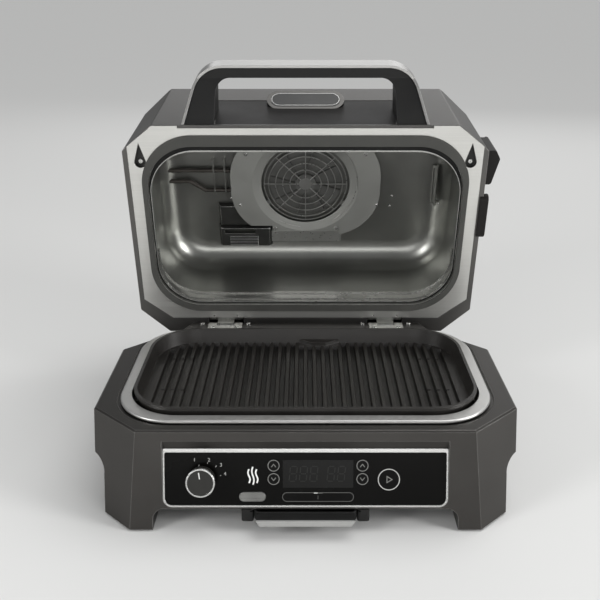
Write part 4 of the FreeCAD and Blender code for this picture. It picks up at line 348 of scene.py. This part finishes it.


# Colours from dark to light in patches, with a painted highlight along the edges (painted
# shade where the edge colour is darker); grain and patch are scales, depth and edge are in metres.
mouldedLooks = {
    "base_grey": {
        "dark": (0.05, 0.047, 0.044), "light": (0.067, 0.064, 0.06),
        "edgeHighlight": (0.34, 0.33, 0.32), "grain": 1500.0, "patch": 7.0, "rough": (0.34, 0.44),
        "depth": 0.00004, "edge": 0.0016, "edgeHighlightStrength": 6.0, "metal": 0.85, "coat": 0.0,
    },
    "lid_grey": {
        "dark": (0.11, 0.107, 0.102), "light": (0.145, 0.141, 0.135),
        "edgeHighlight": (0.34, 0.33, 0.32), "grain": 1500.0, "patch": 7.0, "rough": (0.34, 0.44),
        "depth": 0.00004, "edge": 0.0014, "edgeHighlightStrength": 5.0, "metal": 0.85, "coat": 0.0,
    },
    "plate_black": {
        "dark": (0.017, 0.0155, 0.014), "light": (0.028, 0.0255, 0.023),
        "edgeHighlight": (0.06, 0.056, 0.05), "grain": 2600.0, "patch": 22.0, "rough": (0.34, 0.48),
        "depth": 0.00008, "edge": 0.0012, "edgeHighlightStrength": 2.0, "metal": 0.2, "coat": 0.15,
    },
    "grip_black": {
        "dark": (0.006, 0.006, 0.0058), "light": (0.0095, 0.0094, 0.009),
        "edgeHighlight": (0.05, 0.05, 0.05), "grain": 1800.0, "patch": 16.0, "rough": (0.42, 0.56),
        "depth": 0.00012, "edge": 0.002, "edgeHighlightStrength": 1.5, "metal": 0.0, "coat": 0.0, "specular": 0.3,
    },
    "panel_black": {
        "dark": (0.0085, 0.0075, 0.007), "light": (0.0115, 0.0102, 0.0095),
        "edgeHighlight": (0.05, 0.05, 0.05), "grain": 1600.0, "patch": 12.0, "rough": (0.4, 0.5),
        "depth": 0.00004, "edge": 0.0008, "edgeHighlightStrength": 1.5, "metal": 0.0, "coat": 0.0, "specular": 0.2,
    },
    "black_plastic": {
        "dark": (0.007, 0.007, 0.0068), "light": (0.012, 0.012, 0.0115),
        "edgeHighlight": (0.06, 0.06, 0.06), "grain": 1300.0, "patch": 16.0, "rough": (0.45, 0.6),
        "depth": 0.00012, "edge": 0.0008, "edgeHighlightStrength": 1.5, "metal": 0.0, "coat": 0.0, "specular": 0.3,
    },
    "fascia_black": {
        "dark": (0.0026, 0.0025, 0.0022), "light": (0.0036, 0.0035, 0.0031),
        "edgeHighlight": (0.02, 0.02, 0.02), "grain": 2200.0, "patch": 6.0, "rough": (0.22, 0.3),
        "depth": 0.00001, "edge": 0.0004, "edgeHighlightStrength": 1.0, "metal": 0.0, "coat": 0.0, "specular": 0.08,
    },
    "key_black": {
        "dark": (0.0028, 0.0027, 0.0025), "light": (0.004, 0.0039, 0.0036),
        "edgeHighlight": (0.03, 0.03, 0.03), "grain": 2200.0, "patch": 30.0, "rough": (0.28, 0.36),
        "depth": 0.00002, "edge": 0.0004, "edgeHighlightStrength": 1.0, "metal": 0.0, "coat": 0.0, "specular": 0.08,
    },
    "seal_rubber": {
        "dark": (0.042, 0.042, 0.038), "light": (0.06, 0.06, 0.054),
        "edgeHighlight": (0.09, 0.09, 0.082), "grain": 1200.0, "patch": 18.0, "rough": (0.6, 0.75),
        "depth": 0.00012, "edge": 0.001, "edgeHighlightStrength": 1.0, "metal": 0.0, "coat": 0.0,
    },
    # painted shadow: black sheet for the shadow gap on the lid's lip ring
    "shadowSheetBlack": {
        "dark": (0.0065, 0.0065, 0.006), "light": (0.01, 0.01, 0.0095),
        "edgeHighlight": (0.02, 0.02, 0.02), "grain": 1400.0, "patch": 24.0, "rough": (0.65, 0.8),
        "depth": 0.00008, "edge": 0.0006, "edgeHighlightStrength": 1.0, "metal": 0.0, "coat": 0.0, "specular": 0.3,
    },
    "foot_rubber": {
        "dark": (0.016, 0.016, 0.016), "light": (0.028, 0.028, 0.027),
        "edgeHighlight": (0.07, 0.07, 0.07), "grain": 900.0, "patch": 20.0, "rough": (0.7, 0.85),
        "depth": 0.0002, "edge": 0.001, "edgeHighlightStrength": 1.0, "metal": 0.0, "coat": 0.0,
    },
    "board_green": {
        "dark": (0.012, 0.07, 0.03), "light": (0.02, 0.11, 0.05),
        "edgeHighlight": (0.3, 0.28, 0.1), "grain": 700.0, "patch": 60.0, "rough": (0.35, 0.5),
        "depth": 0.00006, "edge": 0.0004, "edgeHighlightStrength": 1.0, "metal": 0.0, "coat": 0.2,
    },
    "dial_grey": {
        "dark": (0.022, 0.0215, 0.0195), "light": (0.029, 0.0285, 0.026),
        "edgeHighlight": (0.2, 0.2, 0.19), "grain": 2400.0, "patch": 50.0, "rough": (0.42, 0.52),
        "depth": 0.00003, "edge": 0.0006, "edgeHighlightStrength": 1.5, "metal": 0.2, "coat": 0.0, "specular": 0.3,
    },
    "badgeInlay": {
        "dark": (0.016, 0.016, 0.015), "light": (0.022, 0.022, 0.021),
        "edgeHighlight": (0.5, 0.5, 0.48), "grain": 2400.0, "patch": 30.0, "rough": (0.3, 0.4),
        "depth": 0.00001, "edge": 0.0006, "edgeHighlightStrength": 2.0, "metal": 0.2, "coat": 0.1,
    },
    # painted shade: the frame's steel screw cups darkened as shadowed recesses
    "cupPaintedShade": {
        "dark": (0.02, 0.019, 0.018), "light": (0.03, 0.029, 0.027),
        "edgeHighlight": (0.16, 0.16, 0.15), "grain": 1500.0, "patch": 40.0, "rough": (0.4, 0.5),
        "depth": 0.00005, "edge": 0.0008, "edgeHighlightStrength": 3.0, "metal": 0.3, "coat": 0.0,
    },
    "impellerDark": {
        "dark": (0.15, 0.15, 0.142), "light": (0.2, 0.2, 0.19),
        "edgeHighlight": (0.12, 0.12, 0.11), "grain": 1200.0, "patch": 30.0, "rough": (0.35, 0.5),
        "depth": 0.00006, "edge": 0.0006, "edgeHighlightStrength": 2.0, "metal": 0.7, "coat": 0.0,
    },
    "white_mark": {
        "dark": (0.74, 0.74, 0.72), "light": (0.82, 0.82, 0.8),
        "edgeHighlight": (0.9, 0.9, 0.88), "grain": 2400.0, "patch": 80.0, "rough": (0.4, 0.5),
        "depth": 0.00001, "edge": 0.0002, "edgeHighlightStrength": 1.0, "metal": 0.0, "coat": 0.0,
    },
    # painted highlight: strong bright edges on the louvre slots
    "louvreDark": {
        "dark": (0.09, 0.09, 0.086), "light": (0.12, 0.12, 0.115),
        "edgeHighlight": (0.62, 0.62, 0.6), "grain": 1500.0, "patch": 30.0, "rough": (0.32, 0.42),
        "depth": 0.00002, "edge": 0.0011, "edgeHighlightStrength": 9.0, "metal": 0.9, "coat": 0.0,
    },
    "printWhite": {
        "dark": (0.84, 0.84, 0.82), "light": (0.9, 0.9, 0.88),
        "edgeHighlight": (0.9, 0.9, 0.88), "grain": 2400.0, "patch": 60.0, "rough": (0.45, 0.55),
        "depth": 0.000005, "edge": 0.0001, "edgeHighlightStrength": 1.0, "metal": 0.0, "coat": 0.0,
    },
    "printPale": {
        "dark": (0.46, 0.46, 0.44), "light": (0.54, 0.54, 0.52),
        "edgeHighlight": (0.6, 0.6, 0.58), "grain": 2400.0, "patch": 60.0, "rough": (0.45, 0.55),
        "depth": 0.000005, "edge": 0.0001, "edgeHighlightStrength": 1.0, "metal": 0.0, "coat": 0.0,
    },
    "printGrey": {
        "dark": (0.2, 0.2, 0.19), "light": (0.25, 0.25, 0.235),
        "edgeHighlight": (0.32, 0.32, 0.3), "grain": 2400.0, "patch": 60.0, "rough": (0.45, 0.55),
        "depth": 0.000005, "edge": 0.0001, "edgeHighlightStrength": 1.0, "metal": 0.0, "coat": 0.0,
    },
    "printDim": {
        "dark": (0.07, 0.07, 0.066), "light": (0.1, 0.1, 0.094),
        "edgeHighlight": (0.15, 0.15, 0.14), "grain": 2400.0, "patch": 60.0, "rough": (0.45, 0.55),
        "depth": 0.000005, "edge": 0.0001, "edgeHighlightStrength": 1.0, "metal": 0.0, "coat": 0.0,
    },
    "segmentUnlit": {
        "dark": (0.014, 0.014, 0.013), "light": (0.017, 0.017, 0.0155),
        "edgeHighlight": (0.03, 0.03, 0.028), "grain": 2400.0, "patch": 60.0, "rough": (0.3, 0.4),
        "depth": 0.000005, "edge": 0.0001, "edgeHighlightStrength": 1.0, "metal": 0.0, "coat": 0.0, "specular": 0.2,
    },
}

# The values of across are scales along x, y and z, a low one along the brushed lines.
brushedLooks = {
    "frame_steel": {
        "dark": (0.6, 0.595, 0.57), "light": (0.7, 0.695, 0.665), "line": (0.76, 0.755, 0.725),
        "across": (6, 1900, 1900), "patch": 6.0, "rough": (0.28, 0.4),
        "depth": 0.00001, "edge": 0.0006, "metal": 0.85,
    },
    "strapSatin": {
        "dark": (0.42, 0.415, 0.405), "light": (0.52, 0.515, 0.5), "line": (0.56, 0.555, 0.54),
        "across": (8, 1700, 1700), "patch": 6.0, "rough": (0.26, 0.36),
        "depth": 0.00001, "edge": 0.0009, "metal": 0.9,
    },
    "satin_ring": {
        "dark": (0.52, 0.515, 0.5), "light": (0.6, 0.595, 0.58), "line": (0.64, 0.635, 0.62),
        "across": (700, 700, 700), "patch": 8.0, "rough": (0.34, 0.46),
        "depth": 0.00001, "edge": 0.001, "metal": 0.9,
    },
    "silver_trim": {
        "dark": (0.46, 0.46, 0.445), "light": (0.54, 0.54, 0.525), "line": (0.6, 0.6, 0.585),
        "across": (12, 2200, 2200), "patch": 14.0, "rough": (0.2, 0.32),
        "depth": 0.00001, "edge": 0.0005, "metal": 0.9,
    },
    "stripSilver": {
        "dark": (0.4, 0.4, 0.39), "light": (0.46, 0.46, 0.45), "line": (0.5, 0.5, 0.49),
        "across": (12, 2200, 2200), "patch": 14.0, "rough": (0.3, 0.4),
        "depth": 0.00001, "edge": 0.0005, "metal": 0.5,
    },
    "keySilver": {
        "dark": (0.13, 0.13, 0.125), "light": (0.2, 0.2, 0.19), "line": (0.24, 0.24, 0.23),
        "across": (20, 1500, 1500), "patch": 40.0, "rough": (0.26, 0.38),
        "depth": 0.00001, "edge": 0.0012, "metal": 0.85,
    },
    "liner_steel": {
        "dark": (0.27, 0.272, 0.255), "light": (0.33, 0.332, 0.312), "line": (0.36, 0.362, 0.34),
        "across": (60, 260, 60), "patch": 5.0, "rough": (0.27, 0.36),
        "depth": 0.000008, "edge": 0.0006, "metal": 0.9,
    },
    "lipSteel": {
        "dark": (0.42, 0.42, 0.4), "light": (0.46, 0.46, 0.44), "line": (0.5, 0.5, 0.48),
        "across": (60, 60, 60), "patch": 6.0, "rough": (0.22, 0.3),
        "depth": 0.000008, "edge": 0.0006, "metal": 0.9,
    },
    "shroudSatin": {
        "dark": (0.34, 0.342, 0.322), "light": (0.4, 0.402, 0.38), "line": (0.42, 0.422, 0.4),
        "across": (80, 80, 80), "patch": 5.0, "rough": (0.42, 0.52),
        "depth": 0.000008, "edge": 0.0006, "metal": 0.6,
    },
    "guardWire": {
        "dark": (0.5, 0.5, 0.48), "light": (0.6, 0.6, 0.58), "line": (0.66, 0.66, 0.64),
        "across": (600, 600, 600), "patch": 20.0, "rough": (0.25, 0.35),
        "depth": 0.00001, "edge": 0.0004, "metal": 0.9,
    },
    "well_steel": {
        "dark": (0.25, 0.25, 0.24), "light": (0.36, 0.36, 0.34), "line": (0.42, 0.42, 0.4),
        "across": (300, 30, 300), "patch": 12.0, "rough": (0.3, 0.42),
        "depth": 0.00003, "edge": 0.0006, "metal": 1.0,
    },
    "hinge_steel": {
        "dark": (0.4, 0.4, 0.38), "light": (0.52, 0.52, 0.5), "line": (0.6, 0.6, 0.57),
        "across": (1400, 60, 60), "patch": 20.0, "rough": (0.25, 0.38),
        "depth": 0.00002, "edge": 0.0005, "metal": 1.0,
    },
    "screw_steel": {
        "dark": (0.5, 0.5, 0.48), "light": (0.62, 0.62, 0.6), "line": (0.7, 0.7, 0.68),
        "across": (900, 900, 900), "patch": 60.0, "rough": (0.2, 0.32),
        "depth": 0.00002, "edge": 0.0003, "metal": 1.0,
    },
    "motor_steel": {
        "dark": (0.28, 0.28, 0.28), "light": (0.36, 0.36, 0.36), "line": (0.42, 0.42, 0.42),
        "across": (40, 40, 900), "patch": 20.0, "rough": (0.35, 0.5),
        "depth": 0.00003, "edge": 0.0006, "metal": 1.0,
    },
    "galvanised": {
        "dark": (0.33, 0.34, 0.35), "light": (0.48, 0.49, 0.5), "line": (0.52, 0.53, 0.54),
        "across": (90, 90, 90), "patch": 70.0, "rough": (0.3, 0.5),
        "depth": 0.00002, "edge": 0.0005, "metal": 1.0,
    },
    "heater_steel": {
        "dark": (0.045, 0.04, 0.036), "light": (0.09, 0.082, 0.074), "line": (0.12, 0.11, 0.1),
        "across": (500, 500, 500), "patch": 30.0, "rough": (0.45, 0.6),
        "depth": 0.00006, "edge": 0.0005, "metal": 0.7,
    },
}


def tintedGlass(name, look):
    material, tree, shader, place = startMaterial(name)
    values = {"Scale": look["grain"], "Patch Scale": look["patch"]}
    grain = placeGroup(tree, grainGroup, values, {"Vector": place})
    patch = grain.outputs["Patch"]
    color = mixColors(tree, spread(tree, patch, 0, 1), look["dark"], look["light"])
    tree.links.new(color, shader.inputs["Base Color"])
    tree.links.new(spread(tree, patch, *look["rough"]), shader.inputs["Roughness"])
    shader.inputs["Specular IOR Level"].default_value = look["specular"]
    shader.inputs["Coat Weight"].default_value = look["coat"]
    shader.inputs["Coat Roughness"].default_value = look["coatRough"]
    addBump(tree, shader, grain.outputs["Height"], look["depth"], 0)
    return material


glassLook = {
    "dark": (0.0085, 0.0085, 0.008), "light": (0.0105, 0.0105, 0.01),
    "grain": 900.0, "patch": 9.0, "depth": 0.000004, "rough": (0.18, 0.25),
    "specular": 0.15, "coat": 0.02, "coatRough": 0.08,
}

finishes = {name: mouldedSurface(name, look) for name, look in mouldedLooks.items()}
finishes.update({name: brushedSurface(name, look) for name, look in brushedLooks.items()})
finishes["display_glass"] = tintedGlass("display_glass", glassLook)

# Some parts share a slot in the record but not a finish in the photograph.
ownFinish = {
    "badge_plate": "badgeInlay",
    # painted shade: the screw cups get a dark finish for the shade in their recesses
    "screw_cups": "cupPaintedShade",
    "handle_strap": "strapSatin",
    "fan_shroud": "shroudSatin",
    "fan_guard": "guardWire",
    "fan_impeller": "impellerDark",
    "smoke_key": "keySilver",
    "louvre_plate": "louvreDark",
    "liner_lip": "lipSteel",
    "tray_handle": "stripSilver",
}

for row in frame["record"]["subparts"]:
    node = nodes[row["node"]]
    finishName = ownFinish.get(row["node"], row["material_slot"])
    for place in node.material_slots:
        place.material = finishes[finishName]
print("finishes on", len(nodes), "nodes")


# Places are (y, z) in mm, turns in degrees; shift takes the part's drawing to the frame.
fascia = {"foot": (-294.5, 37.5), "lean": 17.0}  # the lower edge of the control face
lidHinge = {"y": 188.5, "z": 145.6, "open": 82.0, "shift": -79.0}
badgeFace = {"foot": (-199.26, 252.0), "tilt": 118.0}  # in the shut lid
sink = 0.1  # mm that a mark or rivet reaches into its seat


def onFascia(x, v, n=0.0):  # x across, v up the face, n out of it
    lean = math.radians(fascia["lean"])
    y = fascia["foot"][0] + v * math.sin(lean) - n * math.cos(lean)
    z = fascia["foot"][1] + v * math.cos(lean) + n * math.sin(lean)
    return Vector((x, y, z)) * mm


def onLid(x, y, z):  # a place in the shut lid, carried to where the open lid is
    turn = math.radians(lidHinge["open"])
    dy, dz = y - lidHinge["y"], z - lidHinge["z"]
    openY = lidHinge["y"] + dy * math.cos(turn) + dz * math.sin(turn) + lidHinge["shift"]
    openZ = lidHinge["z"] - dy * math.sin(turn) + dz * math.cos(turn)
    return Vector((x, openY, openZ)) * mm


def onBadge(x, u, n=0.0):  # x across, u along the badge, n out of it
    tilt = math.radians(badgeFace["tilt"])
    y = badgeFace["foot"][0] + u * math.cos(tilt) - n * math.sin(tilt)
    z = badgeFace["foot"][1] + u * math.sin(tilt) + n * math.cos(tilt)
    return onLid(x, y, z)


def finishPiece(name, bm, body, finish):
    bmesh.ops.recalc_face_normals(bm, faces=bm.faces)
    mesh = bpy.data.meshes.new(name)
    bm.to_mesh(mesh)
    bm.free()
    mesh.materials.append(finishes[finish])
    piece = bpy.data.objects.new(name, mesh)
    scene.collection.objects.link(piece)
    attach(piece, body)
    return piece


def joinRows(bm, rows, closed):  # walls between rows of corners
    pairs = zip(rows, rows[1:] + rows[:1]) if closed else zip(rows, rows[1:])
    for first, second in pairs:
        for corner in range(len(first)):
            following = (corner + 1) % len(first)
            bm.faces.new((first[corner], first[following], second[following], second[corner]))


mitreLimit = 0.35  # keeps a sharp corner of a line short


# A flat raised line along a path, from the level low to the level high.
def addRibbon(bm, path, width, toWorld, low, high, closed=False):
    count = len(path)
    points = [Vector(point) for point in path]
    rows = []
    for index, point in enumerate(points):
        last = points[index - 1] if closed or index > 0 else None
        following = points[(index + 1) % count] if closed or index < count - 1 else None
        before = (following - point if last is None else point - last).normalized()
        after = before if following is None else (following - point).normalized()
        sideBefore, sideAfter = Vector((-before.y, before.x)), Vector((-after.y, after.x))
        side = (sideBefore + sideAfter).normalized()
        side *= width / 2 / max(mitreLimit, side.dot(sideAfter))
        left, right = point + side, point - side
        corners = ((left, low), (left, high), (right, high), (right, low))
        rows.append([bm.verts.new(toWorld(at.x, at.y, level)) for at, level in corners])
    joinRows(bm, rows, closed)
    if not closed:
        bm.faces.new(rows[0])
        bm.faces.new(rows[-1][::-1])


def circlePath(x, v, radius, steps=64):
    turns = [2 * math.pi * step / steps for step in range(steps)]
    return [(x + radius * math.cos(turn), v + radius * math.sin(turn)) for turn in turns]


def pillPath(x0, x1, v0, v1, steps=18):
    radius = (v1 - v0) / 2
    middle = (v0 + v1) / 2
    turns = [math.pi * step / steps for step in range(steps + 1)]
    right = [(x1 - radius + radius * math.sin(turn), middle - radius * math.cos(turn))
             for turn in turns]
    left = [(x0 + radius - radius * math.sin(turn), middle + radius * math.cos(turn))
            for turn in turns]
    return right + left


def makeLine(name, paths, width, toWorld, low, high, body, finish, closed=False):
    bm = bmesh.new()
    for path in paths:
        addRibbon(bm, path, width, toWorld, low, high, closed)
    return finishPiece(name, bm, body, finish)


keyRings = {
    "width": 1.0, "low": -0.22, "high": 0.06,
    "arrows": [
        # name, body, x, v, radius, +1 for up
        ("tempUp", "temp_up_key_body", -46.3, 61.5, 8.1, 1),
        ("tempDown", "temp_down_key_body", -46.3, 41.6, 8.1, -1),
        ("timeUp", "time_up_key_body", 82.6, 61.5, 8.1, 1),
        ("timeDown", "time_down_key_body", 82.6, 41.6, 8.1, -1),
    ],
    "chevronHalf": 3.3, "chevronRise": 4.2, "chevronWidth": 1.0,
    # x, v and radius of the start ring; its mark reaches back by a share of its size
    "start": (121.0, 40.9, 15.4), "startWidth": 1.3, "startSteps": 96,
    "markSize": 4.6, "markBack": 0.6, "markWidth": 1.1,
}


def makeKeyMarks(look):
    low, high, slotName = look["low"], look["high"], "key_black"
    for name, body, x, v, radius, way in look["arrows"]:
        ring = [circlePath(x, v, radius)]
        makeLine(name + "Ring", ring, look["width"], onFascia, low, high, body,
                 "printGrey", True)
        half, rise = look["chevronHalf"], look["chevronRise"] / 2 * way
        chevron = [[(x - half, v - rise), (x, v + rise), (x + half, v - rise)]]
        makeLine(name + "Chevron", chevron, look["chevronWidth"], onFascia, low, high, body,
                 "printGrey")
    body = "start_key_body"
    x, v, radius = look["start"]
    ring = [circlePath(x, v, radius, look["startSteps"])]
    makeLine("startRing", ring, look["startWidth"], onFascia, low, high, body,
             "printPale", True)
    size, back = look["markSize"], look["markBack"]
    mark = [[(x - size * back, v - size), (x + size, v), (x - size * back, v + size)]]
    makeLine("startMark", mark, look["markWidth"], onFascia, low, high, body,
             "printGrey", True)


dialMarks = {
    "ticks": [[(-154.0, 62.6), (-157.2, 55.6)], [(-142.2, 64.4), (-141.7, 66.0)],
              [(-130.7, 59.0), (-128.8, 61.4)], [(-124.2, 46.4), (-122.6, 46.9)]],
    "width": 0.8,
    "numbers": [("1", -160.9, 67.4), ("2", -139.9, 67.4), ("3", -122.6, 60.0), ("4", -116.7, 46.9)],
    "size": 7.4, "face": -1.0, "proud": 0.12,
}


def makeDialMarks(look):
    low, high = look["face"] - sink, look["face"] + look["proud"]
    makeLine("dialTicks", look["ticks"], look["width"], onFascia, low, high, "base",
             "printPale")
    for text, x, v in look["numbers"]:
        curve = bpy.data.curves.new("dialNumber" + text, "FONT")
        curve.body = text
        curve.size = look["size"] * mm
        curve.extrude = look["proud"] * mm
        curve.align_x = "CENTER"
        number = bpy.data.objects.new("dialNumber" + text, curve)
        number.location = onFascia(x, v, look["face"])
        number.rotation_euler = (math.radians(90 - fascia["lean"]), 0, 0)
        curve.materials.append(finishes["printPale"])
        scene.collection.objects.link(number)
        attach(number, "base")


heatMark = {
    "x": -76.4, "foot": 33.0, "top": 59.5, "columns": (-1, 0, 1), "spacing": 5.6,
    "footStep": 2.5, "topStep": 3.5,  # the outer waves are shorter by these
    "sway": 1.5, "width": 2.3, "steps": 24, "low": -1.1, "high": -0.86,
}


def makeHeatMark(look):
    paths = []
    for column in look["columns"]:
        foot = look["foot"] + abs(column) * look["footStep"]
        top = look["top"] - abs(column) * look["topStep"]
        path = []
        for step in range(look["steps"] + 1):
            share = step / look["steps"]
            sway = look["sway"] * math.sin(2 * math.pi * share)
            path.append((look["x"] + column * look["spacing"] + sway, foot + (top - foot) * share))
        paths.append(path)
    makeLine("heatMark", paths, look["width"], onFascia, look["low"], look["high"], "base",
             "printWhite")


rockerMarks = {
    "outline": (-33.4, 69.8, 8.3, 21.4), "width": 1.0, "low": -0.3, "high": 0.06,
    "divider": [[(18.2, 11.6), (18.2, 17.0)]], "dividerWidth": 0.8,
    "lampOn": [[(12.2, 20.9), (17.6, 20.9)]], "lampOff": [[(18.8, 20.9), (25.0, 20.9)]],
    "lampWidth": 1.7, "lampRise": 0.08,
}


def makeRockerMarks(look):
    low, high = look["low"], look["high"]
    outline = [pillPath(*look["outline"])]
    makeLine("rockerOutline", outline, look["width"], onFascia, low, high, "rocker",
             "printDim", True)
    makeLine("rockerDivider", look["divider"], look["dividerWidth"], onFascia, low, high, "rocker",
             "printDim")
    lampHigh = high + look["lampRise"]
    for name, path, finish in (("rockerLampOn", look["lampOn"], "printPale"),
                               ("rockerLampOff", look["lampOff"], "printDim")):
        makeLine(name, path, look["lampWidth"], onFascia, low, lampHigh, "rocker",
                 finish)


displayDigits = {
    "face": -1.3, "proud": 0.1, "height": 22.0, "width": 10.0, "slant": 0.1, "stroke": 1.5,
    "gap": 1.4,  # from a corner of a digit to the end of a segment
    "places": [(-24.0, 38.0), (-9.0, 38.0), (6.0, 38.0), (31.0, 38.0), (46.0, 38.0)],
}


def makeDisplayDigits(look):
    low, high = look["face"] - sink, look["face"] + look["proud"]
    gap, width, height, slant = look["gap"], look["width"], look["height"], look["slant"]
    half = height / 2
    paths = []
    for x, v in look["places"]:
        for level in (height, half, 0):
            lean = slant * level
            paths.append([(x + gap + lean, v + level), (x - gap + width + lean, v + level)])
        for across in (0, width):
            for foot in (0, half):
                start, end = foot + gap, foot + half - gap
                paths.append([(x + across + slant * start, v + start),
                              (x + across + slant * end, v + end)])
    makeLine("displayDigits", paths, look["stroke"], onFascia, low, high, "base",
             "segmentUnlit")


badgeLine = {
    "border": 1.6, "width": 0.9, "halfWidth": 61.0, "height": 32.0, "face": 0.75, "proud": 0.25,
    "steps": 28,
}


def makeBadgeLine(look):
    border, face = look["border"], look["face"]
    reach = look["halfWidth"] - border
    path = [pillPath(-reach, reach, border, look["height"] - border, look["steps"])]
    makeLine("badgeLine", path, look["width"], onBadge, face - sink, face + look["proud"], "lid",
             "silver_trim", True)


# A black sheet on the lid's lip ring paints the shadow gap between seal and lip, and a thin bright
# line at its inner edge paints the lip's highlight.
lipShadowSheet = {
    # half width, front, back and corner radius in mm, in the shut lid
    "outer": (271.2, -157.5, 149.7, 80.0), "inner": (268.0, -147.2, 146.0, 79.0),
    "highlightLine": (268.7, -147.9, 146.7, 79.4), "highlightLineWidth": 1.1, "highlightLineLow": 165.6,
    "face": 166.6, "low": 165.9, "bevel": 0.25,
}


def roundedPath(halfWidth, front, back, radius, steps=18):
    corners = ((halfWidth - radius, back - radius, 0), (radius - halfWidth, back - radius, 90),
               (radius - halfWidth, front + radius, 180), (halfWidth - radius, front + radius, 270))
    path = []
    for x, y, start in corners:
        for step in range(steps + 1):
            turn = math.radians(start + 90 * step / steps)
            path.append((x + radius * math.cos(turn), y + radius * math.sin(turn)))
    return path


def makeLipShadowSheet(look):
    bm = bmesh.new()
    low, top, bevel = look["low"], look["face"], look["bevel"]
    rows = []
    for outside, inside in zip(roundedPath(*look["outer"]), roundedPath(*look["inner"])):
        outer, inner = Vector(outside), Vector(inside)
        across = (inner - outer).normalized() * bevel
        section = ((outer, top), (outer, low + bevel), (outer + across, low),
                   (inner - across, low), (inner, low + bevel), (inner, top))
        rows.append([bm.verts.new(onLid(at.x, at.y, z)) for at, z in section])
    joinRows(bm, rows, True)
    finishPiece("lipShadowSheet", bm, "lid", "shadowSheetBlack")
    # painted highlight: a thin bright line along the inner edge of the sheet
    highlightLine = [roundedPath(*look["highlightLine"])]
    makeLine("lipHighlightLine", highlightLine, look["highlightLineWidth"], onLid, look["highlightLineLow"], low + sink, "lid",
             "guardWire", True)


# Painted highlights: bright arcs on only the lit parts of the fan shroud's recess edge, and a strip
# for the shroud's tab.
shroudHighlightsAndTab = {
    "highlightArcs": [
        # radius and width in mm, then from and to in degrees, 0 at the right
        (99.0, 1.1, -58, 62), (99.0, 0.9, -122, -96),
    ],
    "steps": 48, "squash": 0.966, "low": -0.2, "high": 0.3,
    "tab": [(-67.5, 274.3), (67.5, 274.3)], "tabWidth": 23.0,
    "tabFoot": (266.1, 271.5), "tabLean": 0.268, "tabLow": -0.4, "tabHigh": 1.0,
}
seatRay = {"start": -300, "missed": 260}  # mm, y where a search starts and y when nothing is met


def findSeat(nodeName, x, z):  # looks straight back, x and z in mm
    start = Vector((x, seatRay["start"], z)) * mm
    found, foot, normal, _ = nodes[nodeName].ray_cast(start, Vector((0, 1, 0)))
    if not found:
        print("no seat on", nodeName, "at", round(x), round(z))
    return found, foot, normal


def seatOn(nodeName):  # places on the front of a node
    def toWorld(x, z, level):
        found, foot, normal = findSeat(nodeName, x, z)
        return foot + normal * level * mm if found else Vector((x, seatRay["missed"], z)) * mm
    return toWorld


def makeShroudHighlightsAndTab(look):
    spots = [corner.co for corner in nodes["fan_guard"].data.vertices]
    middleX = (min(at.x for at in spots) + max(at.x for at in spots)) / 2 / mm
    middleZ = (min(at.z for at in spots) + max(at.z for at in spots)) / 2 / mm
    bm = bmesh.new()
    # painted highlights: bright arcs only where the light falls on the recess edge
    for radius, width, start, end in look["highlightArcs"]:
        path = []
        for step in range(look["steps"] + 1):
            turn = math.radians(start + (end - start) * step / look["steps"])
            rise = radius * math.sin(turn) * look["squash"]
            path.append((middleX + radius * math.cos(turn), middleZ + rise))
        addRibbon(bm, path, width, seatOn("fan_shroud"), look["low"], look["high"])
    finishPiece("shroudHighlightArcs", bm, "lid", "guardWire")
    footY, footZ = look["tabFoot"]

    def onTab(x, z, level):
        return Vector((x, footY - (z - footZ) * look["tabLean"] - level, z)) * mm

    makeLine("shroudTab", [look["tab"]], look["tabWidth"], onTab, look["tabLow"], look["tabHigh"],
             "lid", "guardWire")


rivets = {
    "radius": 2.6, "height": 1.1, "rings": 5, "sides": 20,
    "places": [
        # node, then x and z in mm
        ("lid_liner", -145.4, 352.9), ("lid_liner", 169.4, 357.8), ("lid_liner", 166.4, 335.6),
        ("fan_shroud", 138.9, 343.3), ("lid_liner", 259.3, 343.4), ("fan_shroud", -128.0, 343.0),
    ],
}


def addRivet(bm, foot, normal, look):
    across = normal.cross(Vector((1, 0, 0))).normalized()
    up = normal.cross(across)
    sides, rings = look["sides"], look["rings"]
    rows = []
    for ring in range(rings):
        angle = math.pi / 2 * ring / rings
        radius = look["radius"] * math.cos(angle) * mm
        rise = look["height"] * math.sin(angle) * mm
        row = []
        for side in range(sides):
            turn = 2 * math.pi * side / sides
            outward = across * math.cos(turn) + up * math.sin(turn)
            row.append(bm.verts.new(foot + normal * rise + outward * radius))
        rows.append(row)
    crown = bm.verts.new(foot + normal * look["height"] * mm)
    joinRows(bm, rows, False)
    for side in range(sides):
        bm.faces.new((rows[-1][side], rows[-1][(side + 1) % sides], crown))
    bm.faces.new(rows[0][::-1])


def makeRivets(look):
    bm = bmesh.new()
    for nodeName, x, z in look["places"]:
        found, foot, normal = findSeat(nodeName, x, z)
        if found:
            addRivet(bm, foot - normal * sink * mm, normal, look)
    piece = finishPiece("lidRivets", bm, "lid", "screw_steel")
    for face in piece.data.polygons:
        face.use_smooth = True


makeKeyMarks(keyRings)
makeDialMarks(dialMarks)
makeHeatMark(heatMark)
makeRockerMarks(rockerMarks)
makeDisplayDigits(displayDigits)
print("control face marked")
makeBadgeLine(badgeLine)
makeShroudHighlightsAndTab(shroudHighlightsAndTab)
makeLipShadowSheet(lipShadowSheet)
makeRivets(rivets)
print("lid pieces added")
